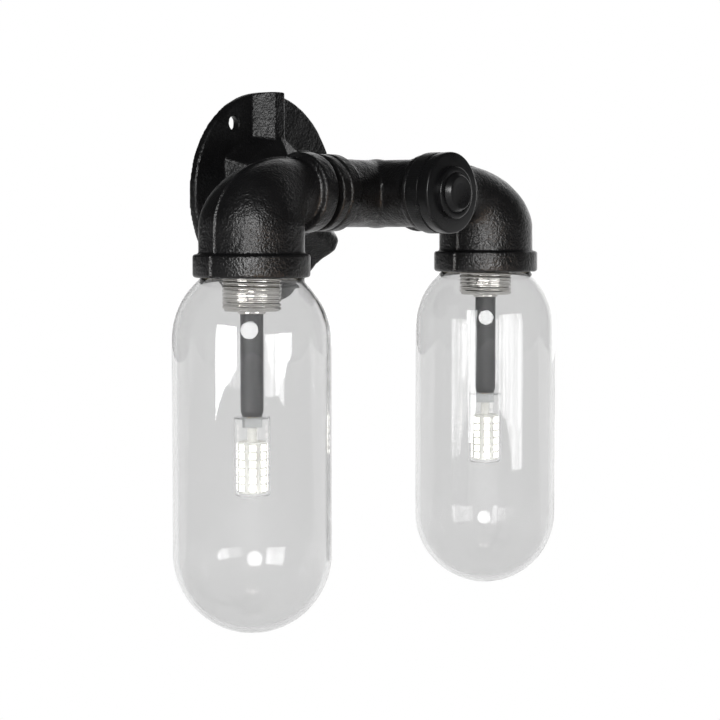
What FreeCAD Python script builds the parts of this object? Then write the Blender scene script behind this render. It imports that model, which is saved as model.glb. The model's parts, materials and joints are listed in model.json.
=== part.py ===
"""Industrial pipe wall light: a wall flange, a cast cross and two reducing elbows, each with a glass shade.

Millimetres. X runs along the cross-bar, the room is at -Y and Z is up. The origin is the centre of the
wall flange's back face, on the axis of the nipple that carries the light.
"""
import FreeCAD
import Part
import math
import os
import Sketcher

V = FreeCAD.Vector
DRAWING = FreeCAD.newDocument("pipe_wall_light")

# ---------------------------------------------------------------- driving dimensions

DIMENSIONS = (
    # wall flange
    ("flange_radius", 51.5),
    ("flange_thickness", 4.4),
    ("flange_rim_round", 1.5),
    ("hub_base_radius", 38.8),
    ("hub_shoulder_radius", 29.5),
    ("hub_shoulder_height", 13.2),
    ("hub_top_radius", 20.5),
    ("hub_top_height", 17.5),
    ("collar_radius", 18.6),
    ("collar_height", 28.0),
    ("rib_base_width", 30.0),
    ("rib_face_width", 9.5),
    ("rib_height", 13.2),
    ("rib_edge_width", 1.6),
    ("screw_hole_radius", 3.6),
    ("screw_circle_radius", 42.7),
    # pipe and fittings
    ("bar_offset", 75.8),
    ("pipe_radius", 13.35),
    ("pipe_wall", 2.85),
    ("thread_engagement", 13.0),
    ("swivel_clearance", 0.05),
    ("cross_arm_radius", 16.0),
    ("cross_core_radius", 16.6),
    ("cross_reach", 39.0),
    ("cross_front_reach", 32.3),
    ("band_radius", 18.1),
    ("band_length", 8.0),
    ("front_band_length", 4.0),
    ("band_round", 1.2),
    ("lock_ring_radius", 17.9),
    ("lock_ring_length", 5.4),
    ("lock_ring_round", 1.0),
    ("nipple_show", 4.1),
    # reducing elbows
    ("elbow_reach", 39.35),
    ("elbow_drop", 38.0),
    ("small_arm_radius", 15.7),
    ("small_band_radius", 18.6),
    ("small_band_length", 9.0),
    ("large_arm_radius", 23.9),
    ("large_band_radius", 26.75),
    ("large_band_length", 10.6),
    ("large_band_round", 1.6),
    ("elbow_wall", 4.2),
    ("bend_outer_reach", 37.0),
    ("throat_radius", 1.6),
    ("loft_setback", 1.0),
    ("parting_ridge_height", 0.7),
    ("parting_ridge_width", 1.8),
    ("shade_thread_radius", 20.2),
    ("shade_thread_depth", 22.0),
    ("gasket_recess_radius", 23.4),
    ("gasket_recess_depth", 3.6),
    ("gasket_thickness", 1.8),
    # glass shades
    ("shade_radius", 36.0),
    ("shade_wall", 2.3),
    ("shade_top_centre", 66.5),
    ("shade_bottom_centre", 163.5),
    ("shade_neck_radius", 19.85),
    ("shade_neck_top", 27.5),
    # lamp carried in each elbow
    ("lamp_bush_thickness", 8.0),
    ("sleeve_end", 53.8),
    ("sleeve_wall", 1.6),
    ("sleeve_floor", 2.0),
    ("tube_nut_radius", 6.3),
    ("tube_nut_thickness", 1.2),
    ("lamp_tube_radius", 5.2),
    ("lamp_tube_wall", 1.3),
    ("lamp_tube_top", 46.0),
    ("lamp_tube_end", 101.2),
    ("lamp_tube_taper", 0.8),
    ("lamp_tube_taper_length", 2.4),
    ("socket_length", 10.0),
    ("pin_radius", 0.45),
    ("pin_hole_clearance", 0.08),
    ("pin_spacing", 4.0),
    ("pin_length", 7.0),
    ("bulb_gap", 0.4),
    ("bulb_base_radius", 4.6),
    ("bulb_base_length", 4.6),
    ("bulb_end", 137.2),
    ("bulb_cover_radius", 8.2),
    ("bulb_cover_wall", 0.7),
    ("bulb_cover_round", 1.2),
    ("bulb_cover_top", 102.2),
    ("led_core_radius", 6.1),
    ("led_core_top", 112.6),
    ("led_core_end", 135.7),
    ("led_width", 2.9),
    ("led_height", 2.9),
    ("led_thickness", 0.8),
    ("led_pitch", 3.65),
    ("led_stem_radius", 2.2),
    # push switch in the front outlet
    ("switch_ring_radius", 19.07),
    ("switch_ring_length", 13.9),
    ("switch_ring_round", 1.0),
    ("switch_groove_width", 1.2),
    ("switch_groove_depth", 0.6),
    ("switch_groove_place", 7.2),
    ("switch_spigot_length", 10.0),
    ("knurl_depth", 0.35),
    ("barrel_radius", 11.0),
    ("bezel_radius", 12.2),
    ("bezel_height", 2.6),
    ("barrel_length", 16.0),
    ("barrel_floor", 2.85),
    ("bezel_round", 0.8),
    ("button_radius", 9.3),
    ("button_taper", 1.6),
    ("button_clearance", 0.08),
    ("button_proud", 2.6),
    ("button_travel", 3.0),
    ("button_length", 9.0),
    ("button_stem_radius", 2.2),
    ("button_stem_lead", 1.0),
    ("button_edge_round", 0.45),
    ("plunger_clearance", 0.5),
    ("spring_wire_radius", 0.45),
    ("spring_coil_radius", 4.2),
    ("spring_end_gap", 0.1),
    ("contact_block_radius", 8.6),
    ("contact_block_length", 9.0),
    ("terminal_width", 2.4),
    ("terminal_thickness", 0.8),
    ("connector_radius", 5.0),
    ("connector_length", 16.0),
    ("lead_radius", 1.6),
)

KNURL_FLUTES = 72
LED_COLUMNS = 8
LED_ROWS = 6
SPRING_TURNS = 5
RIB_ANGLES = (90, 210, 330)
SCREW_ANGLES = (124.2, 244.2, 4.2)
SIDES = (("left", -1), ("right", 1))


class Size:
    """A length that keeps its value together with the sheet formula that gives it."""

    def __init__(self, value, formula):
        self.value = value
        self.formula = formula

    def __add__(self, other):
        other = as_size(other)
        return Size(self.value + other.value, f"({self.formula} + {other.formula})")

    def __sub__(self, other):
        other = as_size(other)
        return Size(self.value - other.value, f"({self.formula} - {other.formula})")

    def __mul__(self, factor):
        factor = as_size(factor)
        return Size(self.value * factor.value, f"({self.formula} * {factor.formula})")

    def __truediv__(self, factor):
        factor = as_size(factor)
        return Size(self.value / factor.value, f"({self.formula} / {factor.formula})")

    def __neg__(self):
        return Size(-self.value, f"(0 - {self.formula})")

    __radd__ = __add__
    __rmul__ = __mul__


def as_size(number):
    """Give a plain number the same form as a size."""
    return number if isinstance(number, Size) else Size(float(number), repr(float(number)))


def root_of(size):
    """Square root of a size that is an area."""
    return Size(math.sqrt(size.value), f"sqrt({size.formula})")


def write_sheet():
    """Put the driving dimensions in the sheet and return them as sizes, by name."""
    sheet = DRAWING.addObject("Spreadsheet::Sheet", "Sizes")
    sizes = {}
    for row, (name, value) in enumerate(DIMENSIONS, start=1):
        sheet.set(f"A{row}", str(value))
        sheet.setAlias(f"A{row}", name)
        sizes[name] = Size(value, f"Sizes.{name}")
    DRAWING.recompute()
    return sizes


D = write_sheet()
ZERO = as_size(0)
OVERSHOOT = as_size(1)


# ---------------------------------------------------------------- drawing helpers

def bind(thing, prop, size):
    """Tie one property to its formula."""
    thing.setExpression(prop, as_size(size).formula)


def place(thing, x=ZERO, y=ZERO, z=ZERO, turn=None):
    """Set a piece's turn and tie its place to the sheet."""
    thing.Placement = FreeCAD.Placement(V(0, 0, 0), turn or FreeCAD.Rotation())
    for axis, size in zip("xyz", (x, y, z)):
        bind(thing, f"Placement.Base.{axis}", size)
    return thing


def origin_plane(body, role):
    """One of the body's own origin planes."""
    return [item for item in body.Origin.OriginFeatures if item.Role == role][0]


def closed_sketch(body, name, role, points, lift=None):
    """Sketch a closed outline whose corners are tied to the sheet, on one of the body's origin planes."""
    sketch = body.newObject("Sketcher::SketchObject", name)
    sketch.AttachmentSupport = [(origin_plane(body, role), "")]
    sketch.MapMode = "FlatFace"
    if lift is not None:
        bind(sketch, "AttachmentOffset.Base.z", lift)
    corners = [(as_size(u), as_size(v)) for u, v in points]
    for index, corner in enumerate(corners):
        following = corners[(index + 1) % len(corners)]
        start = V(corner[0].value, corner[1].value, 0)
        end = V(following[0].value, following[1].value, 0)
        sketch.addGeometry(Part.LineSegment(start, end), False)
    for index in range(len(corners)):
        following = (index + 1) % len(corners)
        sketch.addConstraint(Sketcher.Constraint("Coincident", index, 2, following, 1))
    for index, corner in enumerate(corners):
        for kind, size in zip(("DistanceX", "DistanceY"), corner):
            number = sketch.addConstraint(Sketcher.Constraint(kind, -1, 1, index, 1, size.value))
            bind(sketch, f"Constraints[{number}]", size)
    return sketch


def turned(name, outline, rounds=()):
    """Turn an outline of (radius, height) corners about Z, and round the circular edges named in rounds.

    Each entry of rounds is (edge radius, edge height, rounding).
    """
    body = DRAWING.addObject("PartDesign::Body", name)
    sketch = closed_sketch(body, f"{name}_outline", "XZ_Plane", outline)
    solid = body.newObject("PartDesign::Revolution", f"{name}_turning")
    solid.Profile = sketch
    solid.ReferenceAxis = (sketch, ["V_Axis"])
    solid.Angle = 360
    sketch.recompute()
    solid.recompute()
    for number, (radius, height, rounding) in enumerate(rounds):
        fillet = body.newObject("PartDesign::Fillet", f"{name}_round_{number}")
        fillet.Base = (solid, circular_edges(solid.Shape, radius.value, as_size(height).value))
        bind(fillet, "Radius", rounding)
        fillet.recompute()
        solid = fillet
    body.Tip = solid
    return body


def circular_edges(shape, radius, height):
    """Names of the circular edges of one radius at one height of a turned solid."""
    found = []
    for number, edge in enumerate(shape.Edges, start=1):
        curve = edge.Curve
        if not isinstance(curve, Part.Circle):
            continue
        if abs(curve.Radius - radius) < 1e-4 and abs(curve.Center.z - height) < 1e-4:
            found.append(f"Edge{number}")
    return found


def padded(name, role, points, length):
    """Pad an outline square to one of the body's origin planes."""
    body = DRAWING.addObject("PartDesign::Body", name)
    sketch = closed_sketch(body, f"{name}_outline", role, points)
    pad = body.newObject("PartDesign::Pad", f"{name}_pad")
    pad.Profile = sketch
    bind(pad, "Length", length)
    return body


def cylinder(name, radius, height):
    """Plain cylinder standing on its own base circle."""
    item = DRAWING.addObject("Part::Cylinder", name)
    bind(item, "Radius", radius)
    bind(item, "Height", height)
    return item


def ball(name, radius):
    """Plain sphere."""
    item = DRAWING.addObject("Part::Sphere", name)
    bind(item, "Radius", radius)
    return item


def block(name, length, width, height):
    """Plain box from its own corner."""
    item = DRAWING.addObject("Part::Box", name)
    bind(item, "Length", length)
    bind(item, "Width", width)
    bind(item, "Height", height)
    return item


def joined(name, pieces):
    """One solid from several that meet."""
    item = DRAWING.addObject("Part::MultiFuse", name)
    item.Shapes = pieces
    return item


def grouped(name, pieces):
    """Separate solids kept together under one name."""
    item = DRAWING.addObject("Part::Compound", name)
    item.Links = pieces
    return item


def hollowed(name, solid, tool):
    """A solid with another cut out of it."""
    item = DRAWING.addObject("Part::Cut", name)
    item.Base = solid
    item.Tool = tool
    return item


def overlap_of(name, first, second):
    """What two solids have in common."""
    item = DRAWING.addObject("Part::Common", name)
    item.Base = first
    item.Tool = second
    return item


def sine(degrees, size):
    """A size times the sine of a fixed angle."""
    return size * math.sin(math.radians(degrees))


def cosine(degrees, size):
    """A size times the cosine of a fixed angle."""
    return size * math.cos(math.radians(degrees))


TO_ROOM = FreeCAD.Rotation(V(1, 0, 0), 90)
TO_WALL = FreeCAD.Rotation(V(1, 0, 0), -90)
HALF_SPACING = D["cross_reach"] + D["lock_ring_length"] + D["nipple_show"] + D["elbow_reach"]
BORE_RADIUS = D["pipe_radius"] - D["pipe_wall"]


def along_bar(side):
    """Turn that points a piece's Z outwards along the cross-bar."""
    return FreeCAD.Rotation(V(0, 1, 0), 90 * side)


# ---------------------------------------------------------------- wall flange

def hexagon(radius):
    """Corners of a hexagon with a corner pointing straight up."""
    return [(cosine(30 + 60 * step, radius), sine(30 + 60 * step, radius)) for step in range(6)]


def flange_hub():
    """Six-sided hub that rises steeply to a shoulder, then gently to its collar."""
    body = DRAWING.addObject("PartDesign::Body", "flange_hub")
    steps = (
        ("foot", D["hub_base_radius"], ZERO),
        ("shoulder", D["hub_shoulder_radius"], D["hub_shoulder_height"]),
        ("top", D["hub_top_radius"], D["hub_top_height"]),
    )
    sketches = [closed_sketch(body, f"hub_{name}", "XY_Plane", hexagon(radius), height)
                for name, radius, height in steps]
    loft = body.newObject("PartDesign::AdditiveLoft", "hub_loft")
    loft.Profile = sketches[0]
    loft.Sections = sketches[1:]
    loft.Ruled = True
    return body


def flange_rib(angle):
    """Tapered rib from the hub's steep side to the rim, drawn on the flange and standing out to the room."""
    foot = D["rib_base_width"] / 2
    face = D["rib_face_width"] / 2
    edge = D["rib_edge_width"]
    top = D["rib_height"]
    section = ((-foot, ZERO), (foot, ZERO), (face, top - edge), (face - edge, top),
               (edge - face, top), (-face, top - edge))
    rib = padded(f"flange_rib_{angle}", "XZ_Plane", section, D["flange_radius"])
    turn = FreeCAD.Rotation(V(0, 0, 1), angle + 90)
    return place(rib, turn=turn)


def wall_flange():
    """Cast flange with a hexagonal hub, ribs, a threaded collar and screw holes."""
    disc = turned("flange_disc", (
        (ZERO, ZERO),
        (D["flange_radius"], ZERO),
        (D["flange_radius"], D["flange_thickness"]),
        (ZERO, D["flange_thickness"]),
    ), ((D["flange_radius"], D["flange_thickness"], D["flange_rim_round"]),))
    trim = cylinder("rib_trim", D["flange_radius"], D["collar_height"])
    ribs = joined("flange_ribs", [flange_rib(angle) for angle in RIB_ANGLES])
    collar = turned("flange_collar", (
        (ZERO, ZERO),
        (D["collar_radius"], ZERO),
        (D["collar_radius"], D["collar_height"]),
        (ZERO, D["collar_height"]),
    ), ((D["collar_radius"], D["collar_height"], D["band_round"]),))
    casting = joined("flange_casting", [disc, flange_hub(), collar, overlap_of("ribs_in_rim", ribs, trim)])
    tools = [cylinder("flange_thread", D["pipe_radius"], D["collar_height"])]
    for number, angle in enumerate(SCREW_ANGLES):
        hole = cylinder(f"screw_hole_{number}", D["screw_hole_radius"], D["collar_height"])
        radial = D["screw_circle_radius"]
        tools.append(place(hole, cosine(angle, radial), sine(angle, radial)))
    flange = hollowed("wall_flange", casting, joined("flange_openings", tools))
    return place(flange, turn=TO_ROOM)


# ---------------------------------------------------------------- pipe, cross and lock rings

def pipe_piece(name, length):
    """Straight length of pipe standing on its end."""
    return turned(name, (
        (BORE_RADIUS, ZERO),
        (D["pipe_radius"], ZERO),
        (D["pipe_radius"], length),
        (BORE_RADIUS, length),
    ))


def cross_back_face():
    """Distance from the wall to the cross's back outlet."""
    return D["bar_offset"] - D["cross_reach"]


def wall_nipple():
    """Nipple that screws into the flange and the cross's back outlet."""
    nipple = pipe_piece("wall_nipple", cross_back_face() + D["thread_engagement"])
    return place(nipple, turn=TO_ROOM)


def cross_arm(name, turn, reach, band):
    """One outlet of the cross: a plain arm that ends in a thicker band."""
    inner = reach - band
    arm = turned(name, (
        (ZERO, ZERO),
        (D["cross_arm_radius"], ZERO),
        (D["cross_arm_radius"], inner),
        (D["band_radius"], inner),
        (D["band_radius"], reach),
        (ZERO, reach),
    ), (
        (D["band_radius"], inner, D["band_round"]),
        (D["band_radius"], reach, D["band_round"]),
    ))
    return place(arm, turn=turn)


def cross_bore(name, turn, reach):
    """Waterway and thread of one outlet."""
    depth = reach - D["thread_engagement"]
    bore = turned(name, (
        (ZERO, ZERO),
        (BORE_RADIUS, ZERO),
        (BORE_RADIUS, depth),
        (D["pipe_radius"], depth),
        (D["pipe_radius"], reach + OVERSHOOT),
        (ZERO, reach + OVERSHOOT),
    ))
    return place(bore, turn=turn)


def cross_fitting():
    """Four-way cast cross, hollow, with a slight swelling where its arms meet and a short front outlet."""
    outlets = (
        ("left", along_bar(-1), D["cross_reach"], D["band_length"]),
        ("right", along_bar(1), D["cross_reach"], D["band_length"]),
        ("back", TO_WALL, D["cross_reach"], D["band_length"]),
        ("front", TO_ROOM, D["cross_front_reach"], D["front_band_length"]),
    )
    arms = [cross_arm(f"cross_arm_{name}", turn, reach, band) for name, turn, reach, band in outlets]
    bores = [cross_bore(f"cross_bore_{name}", turn, reach) for name, turn, reach, band in outlets]
    casting = joined("cross_casting", arms + [ball("cross_core", D["cross_core_radius"])])
    cross = hollowed("cross_fitting", casting, joined("cross_waterway", bores))
    return place(cross, y=-D["bar_offset"])


def bar_lock_ring(side_name, side):
    """Threaded ring that locks the bar nipple against the cross."""
    ring = turned(f"bar_lock_ring_{side_name}", (
        (D["pipe_radius"], ZERO),
        (D["lock_ring_radius"], ZERO),
        (D["lock_ring_radius"], D["lock_ring_length"]),
        (D["pipe_radius"], D["lock_ring_length"]),
    ), (
        (D["lock_ring_radius"], ZERO, D["lock_ring_round"]),
        (D["lock_ring_radius"], D["lock_ring_length"], D["lock_ring_round"]),
    ))
    return place(ring, D["cross_reach"] * side, -D["bar_offset"], turn=along_bar(side))


def bar_nipple(side_name, side):
    """Nipple from the cross into the elbow, on which the elbow turns."""
    start = D["cross_reach"] - D["thread_engagement"]
    end = HALF_SPACING - D["elbow_reach"] + D["thread_engagement"]
    nipple = pipe_piece(f"bar_nipple_{side_name}", end - start)
    return place(nipple, start * side, -D["bar_offset"], turn=along_bar(side))


# ---------------------------------------------------------------- reducing elbows

BEND_STEPS = (0, 12, 25, 40, 55, 70, 90)


def bend_outline(degrees):
    """Distance from the throat's corner to the elbow's outer outline, at one angle round the bend.

    The outline runs straight along the top, then round a quarter of an ellipse that ends level with the
    throat's corner.
    """
    drop = D["small_arm_radius"] * 2 + D["throat_radius"]
    start = D["large_arm_radius"] * 2 + D["throat_radius"] - D["bend_outer_reach"]
    if math.tan(math.radians(degrees)) * drop.value < start.value:
        return drop / math.cos(math.radians(degrees))
    across = sine(degrees, drop)
    upward = cosine(degrees, D["bend_outer_reach"])
    squares = across * across + upward * upward
    span = squares - cosine(degrees, start) * cosine(degrees, start)
    return (across * start + root_of(span) * D["bend_outer_reach"]) * drop / squares


def bend_loft(name, side, growth):
    """Quarter bend through circles that share the throat's corner, with its skin moved out by growth."""
    across = D["large_arm_radius"] + D["throat_radius"]
    drop = D["small_arm_radius"] + D["throat_radius"]
    throat = D["throat_radius"] - growth
    rings = [(-D["elbow_reach"] + D["loft_setback"], ZERO, D["small_arm_radius"] + growth, 0)]
    for degrees in BEND_STEPS:
        outer = bend_outline(degrees) + growth
        middle = (outer + throat) / 2
        x = sine(degrees, middle) - across
        z = cosine(degrees, middle) - drop
        rings.append((x, z, (outer - throat) / 2, degrees))
    rings.append((ZERO, -D["elbow_drop"] + D["loft_setback"], D["large_arm_radius"] + growth, 90))
    sections = []
    for number, (x, z, radius, degrees) in enumerate(rings):
        circle = DRAWING.addObject("Part::Circle", f"{name}_section_{number}")
        bind(circle, "Radius", radius)
        place(circle, x * side, ZERO, z, FreeCAD.Rotation(V(0, 1, 0), (90 + degrees) * side))
        sections.append(circle)
    loft = DRAWING.addObject("Part::Loft", name)
    loft.Sections = sections
    loft.Solid = True
    return loft


def elbow_bands(name, side):
    """The thicker bands round both mouths of an elbow."""
    small = turned(f"{name}_small_band", (
        (ZERO, ZERO),
        (D["small_band_radius"], ZERO),
        (D["small_band_radius"], D["small_band_length"]),
        (ZERO, D["small_band_length"]),
    ), (
        (D["small_band_radius"], ZERO, D["band_round"]),
        (D["small_band_radius"], D["small_band_length"], D["band_round"]),
    ))
    place(small, -D["elbow_reach"] * side, turn=along_bar(side))
    large = turned(f"{name}_large_band", (
        (ZERO, -D["elbow_drop"]),
        (D["large_band_radius"], -D["elbow_drop"]),
        (D["large_band_radius"], D["large_band_length"] - D["elbow_drop"]),
        (ZERO, D["large_band_length"] - D["elbow_drop"]),
    ), (
        (D["large_band_radius"], -D["elbow_drop"], D["large_band_round"]),
        (D["large_band_radius"], D["large_band_length"] - D["elbow_drop"], D["large_band_round"]),
    ))
    return [small, large]


def parting_ridge(name, side):
    """Low ridge that the mould's joint leaves all round the elbow's own plane."""
    height = D["parting_ridge_height"]
    outer = bend_loft(f"{name}_ridge_bend", side, height)
    reach = D["elbow_reach"] + D["large_band_radius"] * 2
    slab = block(f"{name}_ridge_slab", reach, D["parting_ridge_width"], reach)
    inward = D["elbow_reach"] - D["small_band_length"]
    start = -inward if side > 0 else inward - reach
    bottom = D["large_band_length"] - D["elbow_drop"]
    place(slab, start, -D["parting_ridge_width"] / 2, bottom)
    return overlap_of(f"{name}_ridge", outer, slab)


def elbow_openings(name, side):
    """Nipple socket, tapering waterway, shade thread and gasket recess of an elbow."""
    socket = cylinder(f"{name}_socket", D["pipe_radius"] + D["swivel_clearance"],
                      D["thread_engagement"] + OVERSHOOT)
    place(socket, -(D["elbow_reach"] + OVERSHOOT) * side, turn=along_bar(side))
    waterway = bend_loft(f"{name}_waterway", side, -D["elbow_wall"])
    mouth = turned(f"{name}_mouth", (
        (ZERO, -D["elbow_drop"] - OVERSHOOT),
        (D["gasket_recess_radius"], -D["elbow_drop"] - OVERSHOOT),
        (D["gasket_recess_radius"], D["gasket_recess_depth"] - D["elbow_drop"]),
        (D["shade_thread_radius"], D["gasket_recess_depth"] - D["elbow_drop"]),
        (D["shade_thread_radius"], D["shade_thread_depth"] - D["elbow_drop"]),
        (ZERO, D["shade_thread_depth"] - D["elbow_drop"]),
    ))
    return joined(f"{name}_openings", [socket, waterway, mouth])


def elbow(side_name, side):
    """Cast reducing elbow: small end on the bar nipple, large end facing down."""
    name = f"elbow_{side_name}"
    bend = bend_loft(f"{name}_bend", side, ZERO)
    casting = joined(f"{name}_casting", [bend, parting_ridge(name, side)] + elbow_bands(name, side))
    piece = hollowed(name, casting, elbow_openings(name, side))
    return place(piece, HALF_SPACING * side, -D["bar_offset"])


def on_lamp_axis(piece, side, height=ZERO):
    """Hang a piece on one lamp's axis, its height measured from the bar axis."""
    return place(piece, HALF_SPACING * side, -D["bar_offset"], height)


def shade_gasket(side_name, side):
    """Soft ring in the elbow's recess, which the shade's shoulder presses on."""
    top = D["gasket_recess_depth"] - D["elbow_drop"]
    outer = D["gasket_recess_radius"]
    inner = D["shade_thread_radius"]
    gasket = turned(f"shade_gasket_{side_name}", (
        (inner, top - D["gasket_thickness"]),
        (outer, top - D["gasket_thickness"]),
        (outer, top),
        (inner, top),
    ))
    return on_lamp_axis(gasket, side)


# ---------------------------------------------------------------- glass shades

def capsule(name, radius, neck_radius, neck_top, bottom_centre):
    """Round-ended glass envelope with a straight neck."""
    top_ball = place(ball(f"{name}_top", radius), z=-D["shade_top_centre"])
    bottom_ball = place(ball(f"{name}_bottom", radius), z=-bottom_centre)
    wall = place(cylinder(f"{name}_wall", radius, bottom_centre - D["shade_top_centre"]),
                 z=-bottom_centre)
    neck = place(cylinder(f"{name}_neck", neck_radius, D["shade_top_centre"] - neck_top),
                 z=-D["shade_top_centre"])
    return joined(name, [top_ball, bottom_ball, wall, neck])


def glass_shade(side_name, side):
    """Clear capsule shade whose neck screws up into the elbow."""
    name = f"glass_shade_{side_name}"
    outer = capsule(f"{name}_outside", D["shade_radius"], D["shade_neck_radius"],
                    D["shade_neck_top"], D["shade_bottom_centre"])
    inner = capsule(f"{name}_inside", D["shade_radius"] - D["shade_wall"],
                    D["shade_neck_radius"] - D["shade_wall"], D["shade_neck_top"] - OVERSHOOT,
                    D["shade_bottom_centre"])
    return on_lamp_axis(hollowed(name, outer, inner), side)


# ---------------------------------------------------------------- lamp

def lamp_bush(side_name, side):
    """Reducing bush at the top of the shade thread, which carries the lamp's sleeve."""
    top = D["shade_thread_depth"] - D["elbow_drop"]
    bush = turned(f"lamp_bush_{side_name}", (
        (D["pipe_radius"], top - D["lamp_bush_thickness"]),
        (D["shade_thread_radius"], top - D["lamp_bush_thickness"]),
        (D["shade_thread_radius"], top),
        (D["pipe_radius"], top),
    ))
    return on_lamp_axis(bush, side)


def lamp_sleeve(side_name, side):
    """Plated threaded sleeve with a floor, through which the lamp tube hangs."""
    top = D["shade_thread_depth"] - D["elbow_drop"]
    inner = D["pipe_radius"] - D["sleeve_wall"]
    floor = D["sleeve_floor"] - D["sleeve_end"]
    sleeve = turned(f"lamp_sleeve_{side_name}", (
        (D["lamp_tube_radius"], -D["sleeve_end"]),
        (D["pipe_radius"], -D["sleeve_end"]),
        (D["pipe_radius"], top),
        (inner, top),
        (inner, floor),
        (D["lamp_tube_radius"], floor),
    ))
    return on_lamp_axis(sleeve, side)


def tube_nut(side_name, side):
    """Thin round nut under the sleeve's floor, which clamps the lamp tube."""
    nut = turned(f"tube_nut_{side_name}", (
        (D["lamp_tube_radius"], -D["sleeve_end"] - D["tube_nut_thickness"]),
        (D["tube_nut_radius"], -D["sleeve_end"] - D["tube_nut_thickness"]),
        (D["tube_nut_radius"], -D["sleeve_end"]),
        (D["lamp_tube_radius"], -D["sleeve_end"]),
    ))
    return on_lamp_axis(nut, side)


def lamp_tube(side_name, side):
    """Black tube that drops the bulb to the middle of the shade."""
    inner = D["lamp_tube_radius"] - D["lamp_tube_wall"]
    tube = turned(f"lamp_tube_{side_name}", (
        (inner, -D["lamp_tube_end"]),
        (D["lamp_tube_radius"] - D["lamp_tube_taper"], -D["lamp_tube_end"]),
        (D["lamp_tube_radius"], D["lamp_tube_taper_length"] - D["lamp_tube_end"]),
        (D["lamp_tube_radius"], -D["lamp_tube_top"]),
        (inner, -D["lamp_tube_top"]),
    ))
    return on_lamp_axis(tube, side)


def pin_pair(name, radius, bottom, top):
    """Two upright pins side by side on the lamp axis."""
    pins = []
    for number, sign in enumerate((-1, 1)):
        pin = cylinder(f"{name}_{number}", radius, top - bottom)
        pins.append(place(pin, D["pin_spacing"] / 2 * sign, ZERO, bottom))
    return pins


def lamp_socket(side_name, side):
    """Ceramic two-pin socket at the foot of the lamp tube."""
    name = f"lamp_socket_{side_name}"
    outer = D["lamp_tube_radius"] - D["lamp_tube_wall"]
    body = cylinder(f"{name}_body", outer, D["socket_length"])
    place(body, z=-D["lamp_tube_end"])
    holes = pin_pair(f"{name}_hole", D["pin_radius"] + D["pin_hole_clearance"],
                     -D["lamp_tube_end"] - OVERSHOOT, D["pin_length"] + OVERSHOOT - D["lamp_tube_end"])
    return on_lamp_axis(hollowed(name, body, joined(f"{name}_holes", holes)), side)


def bulb_base(side_name, side):
    """Moulded foot of the bulb, which carries its pins and closes its cover."""
    top = -D["lamp_tube_end"] - D["bulb_gap"]
    neck = D["bulb_cover_radius"] - D["bulb_cover_wall"]
    step = -D["bulb_cover_top"]
    foot = turned(f"bulb_base_{side_name}", (
        (ZERO, top - D["bulb_base_length"]),
        (D["bulb_base_radius"], top - D["bulb_base_length"]),
        (D["bulb_base_radius"], step),
        (neck, step),
        (neck, step + D["bulb_cover_wall"]),
        (D["bulb_base_radius"], step + D["bulb_cover_wall"]),
        (D["bulb_base_radius"], top),
        (ZERO, top),
    ))
    return on_lamp_axis(foot, side)


def bulb_pins(side_name, side):
    """Pins that carry the bulb in its socket."""
    bottom = -D["lamp_tube_end"] - D["bulb_gap"]
    pins = pin_pair(f"bulb_pin_{side_name}", D["pin_radius"], bottom, D["pin_length"] - D["lamp_tube_end"])
    return on_lamp_axis(grouped(f"bulb_pins_{side_name}", pins), side)


def led_core(side_name, side):
    """Eight-sided board that carries the light-emitting chips, with its stem up to the base."""
    name = f"led_core_{side_name}"
    corner = D["led_core_radius"] / math.cos(math.pi / LED_COLUMNS)
    step = 360 / LED_COLUMNS
    corners = [(cosine(step * (number + 0.5), corner), sine(step * (number + 0.5), corner))
               for number in range(LED_COLUMNS)]
    column = padded(f"{name}_column", "XY_Plane", corners, D["led_core_end"] - D["led_core_top"])
    place(column, z=-D["led_core_end"])
    stem_top = -D["lamp_tube_end"] - D["bulb_gap"] - D["bulb_base_length"]
    stem = cylinder(f"{name}_stem", D["led_stem_radius"], stem_top + D["led_core_top"])
    place(stem, z=-D["led_core_top"])
    return on_lamp_axis(joined(name, [column, stem]), side)


def led_chips(side_name, side):
    """Rows of light-emitting chips round the core."""
    chips = []
    depth = D["led_thickness"]
    middle = (D["led_core_top"] + D["led_core_end"]) / 2
    for column in range(LED_COLUMNS):
        angle = 360 / LED_COLUMNS * column
        for row in range(LED_ROWS):
            chip = block(f"led_chip_{side_name}_{column}_{row}", depth, D["led_width"], D["led_height"])
            height = D["led_pitch"] * ((LED_ROWS - 1) / 2 - row) - middle - D["led_height"] / 2
            radial = D["led_core_radius"]
            sideways = -D["led_width"] / 2
            x = cosine(angle, radial) - sine(angle, sideways)
            y = sine(angle, radial) + cosine(angle, sideways)
            place(chip, x, y, height, FreeCAD.Rotation(V(0, 0, 1), angle))
            chips.append(chip)
    return on_lamp_axis(grouped(f"led_chips_{side_name}", chips), side)


def bulb_cover(side_name, side):
    """Clear cover of the bulb, closed at its foot."""
    inner = D["bulb_cover_radius"] - D["bulb_cover_wall"]
    top = D["bulb_cover_wall"] - D["bulb_cover_top"]
    cover = turned(f"bulb_cover_{side_name}", (
        (ZERO, -D["bulb_end"]),
        (D["bulb_cover_radius"], -D["bulb_end"]),
        (D["bulb_cover_radius"], top),
        (inner, top),
        (inner, D["bulb_cover_wall"] - D["bulb_end"]),
        (ZERO, D["bulb_cover_wall"] - D["bulb_end"]),
    ), ((D["bulb_cover_radius"], -D["bulb_end"], D["bulb_cover_round"]),))
    return on_lamp_axis(cover, side)


# ---------------------------------------------------------------- push switch

SWITCH_FACE = D["cross_front_reach"] + D["switch_ring_length"]


def before_bar(piece, distance=ZERO):
    """Stand a piece out from the bar axis towards the room."""
    return place(piece, ZERO, -D["bar_offset"] - distance, ZERO, TO_ROOM)


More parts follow.
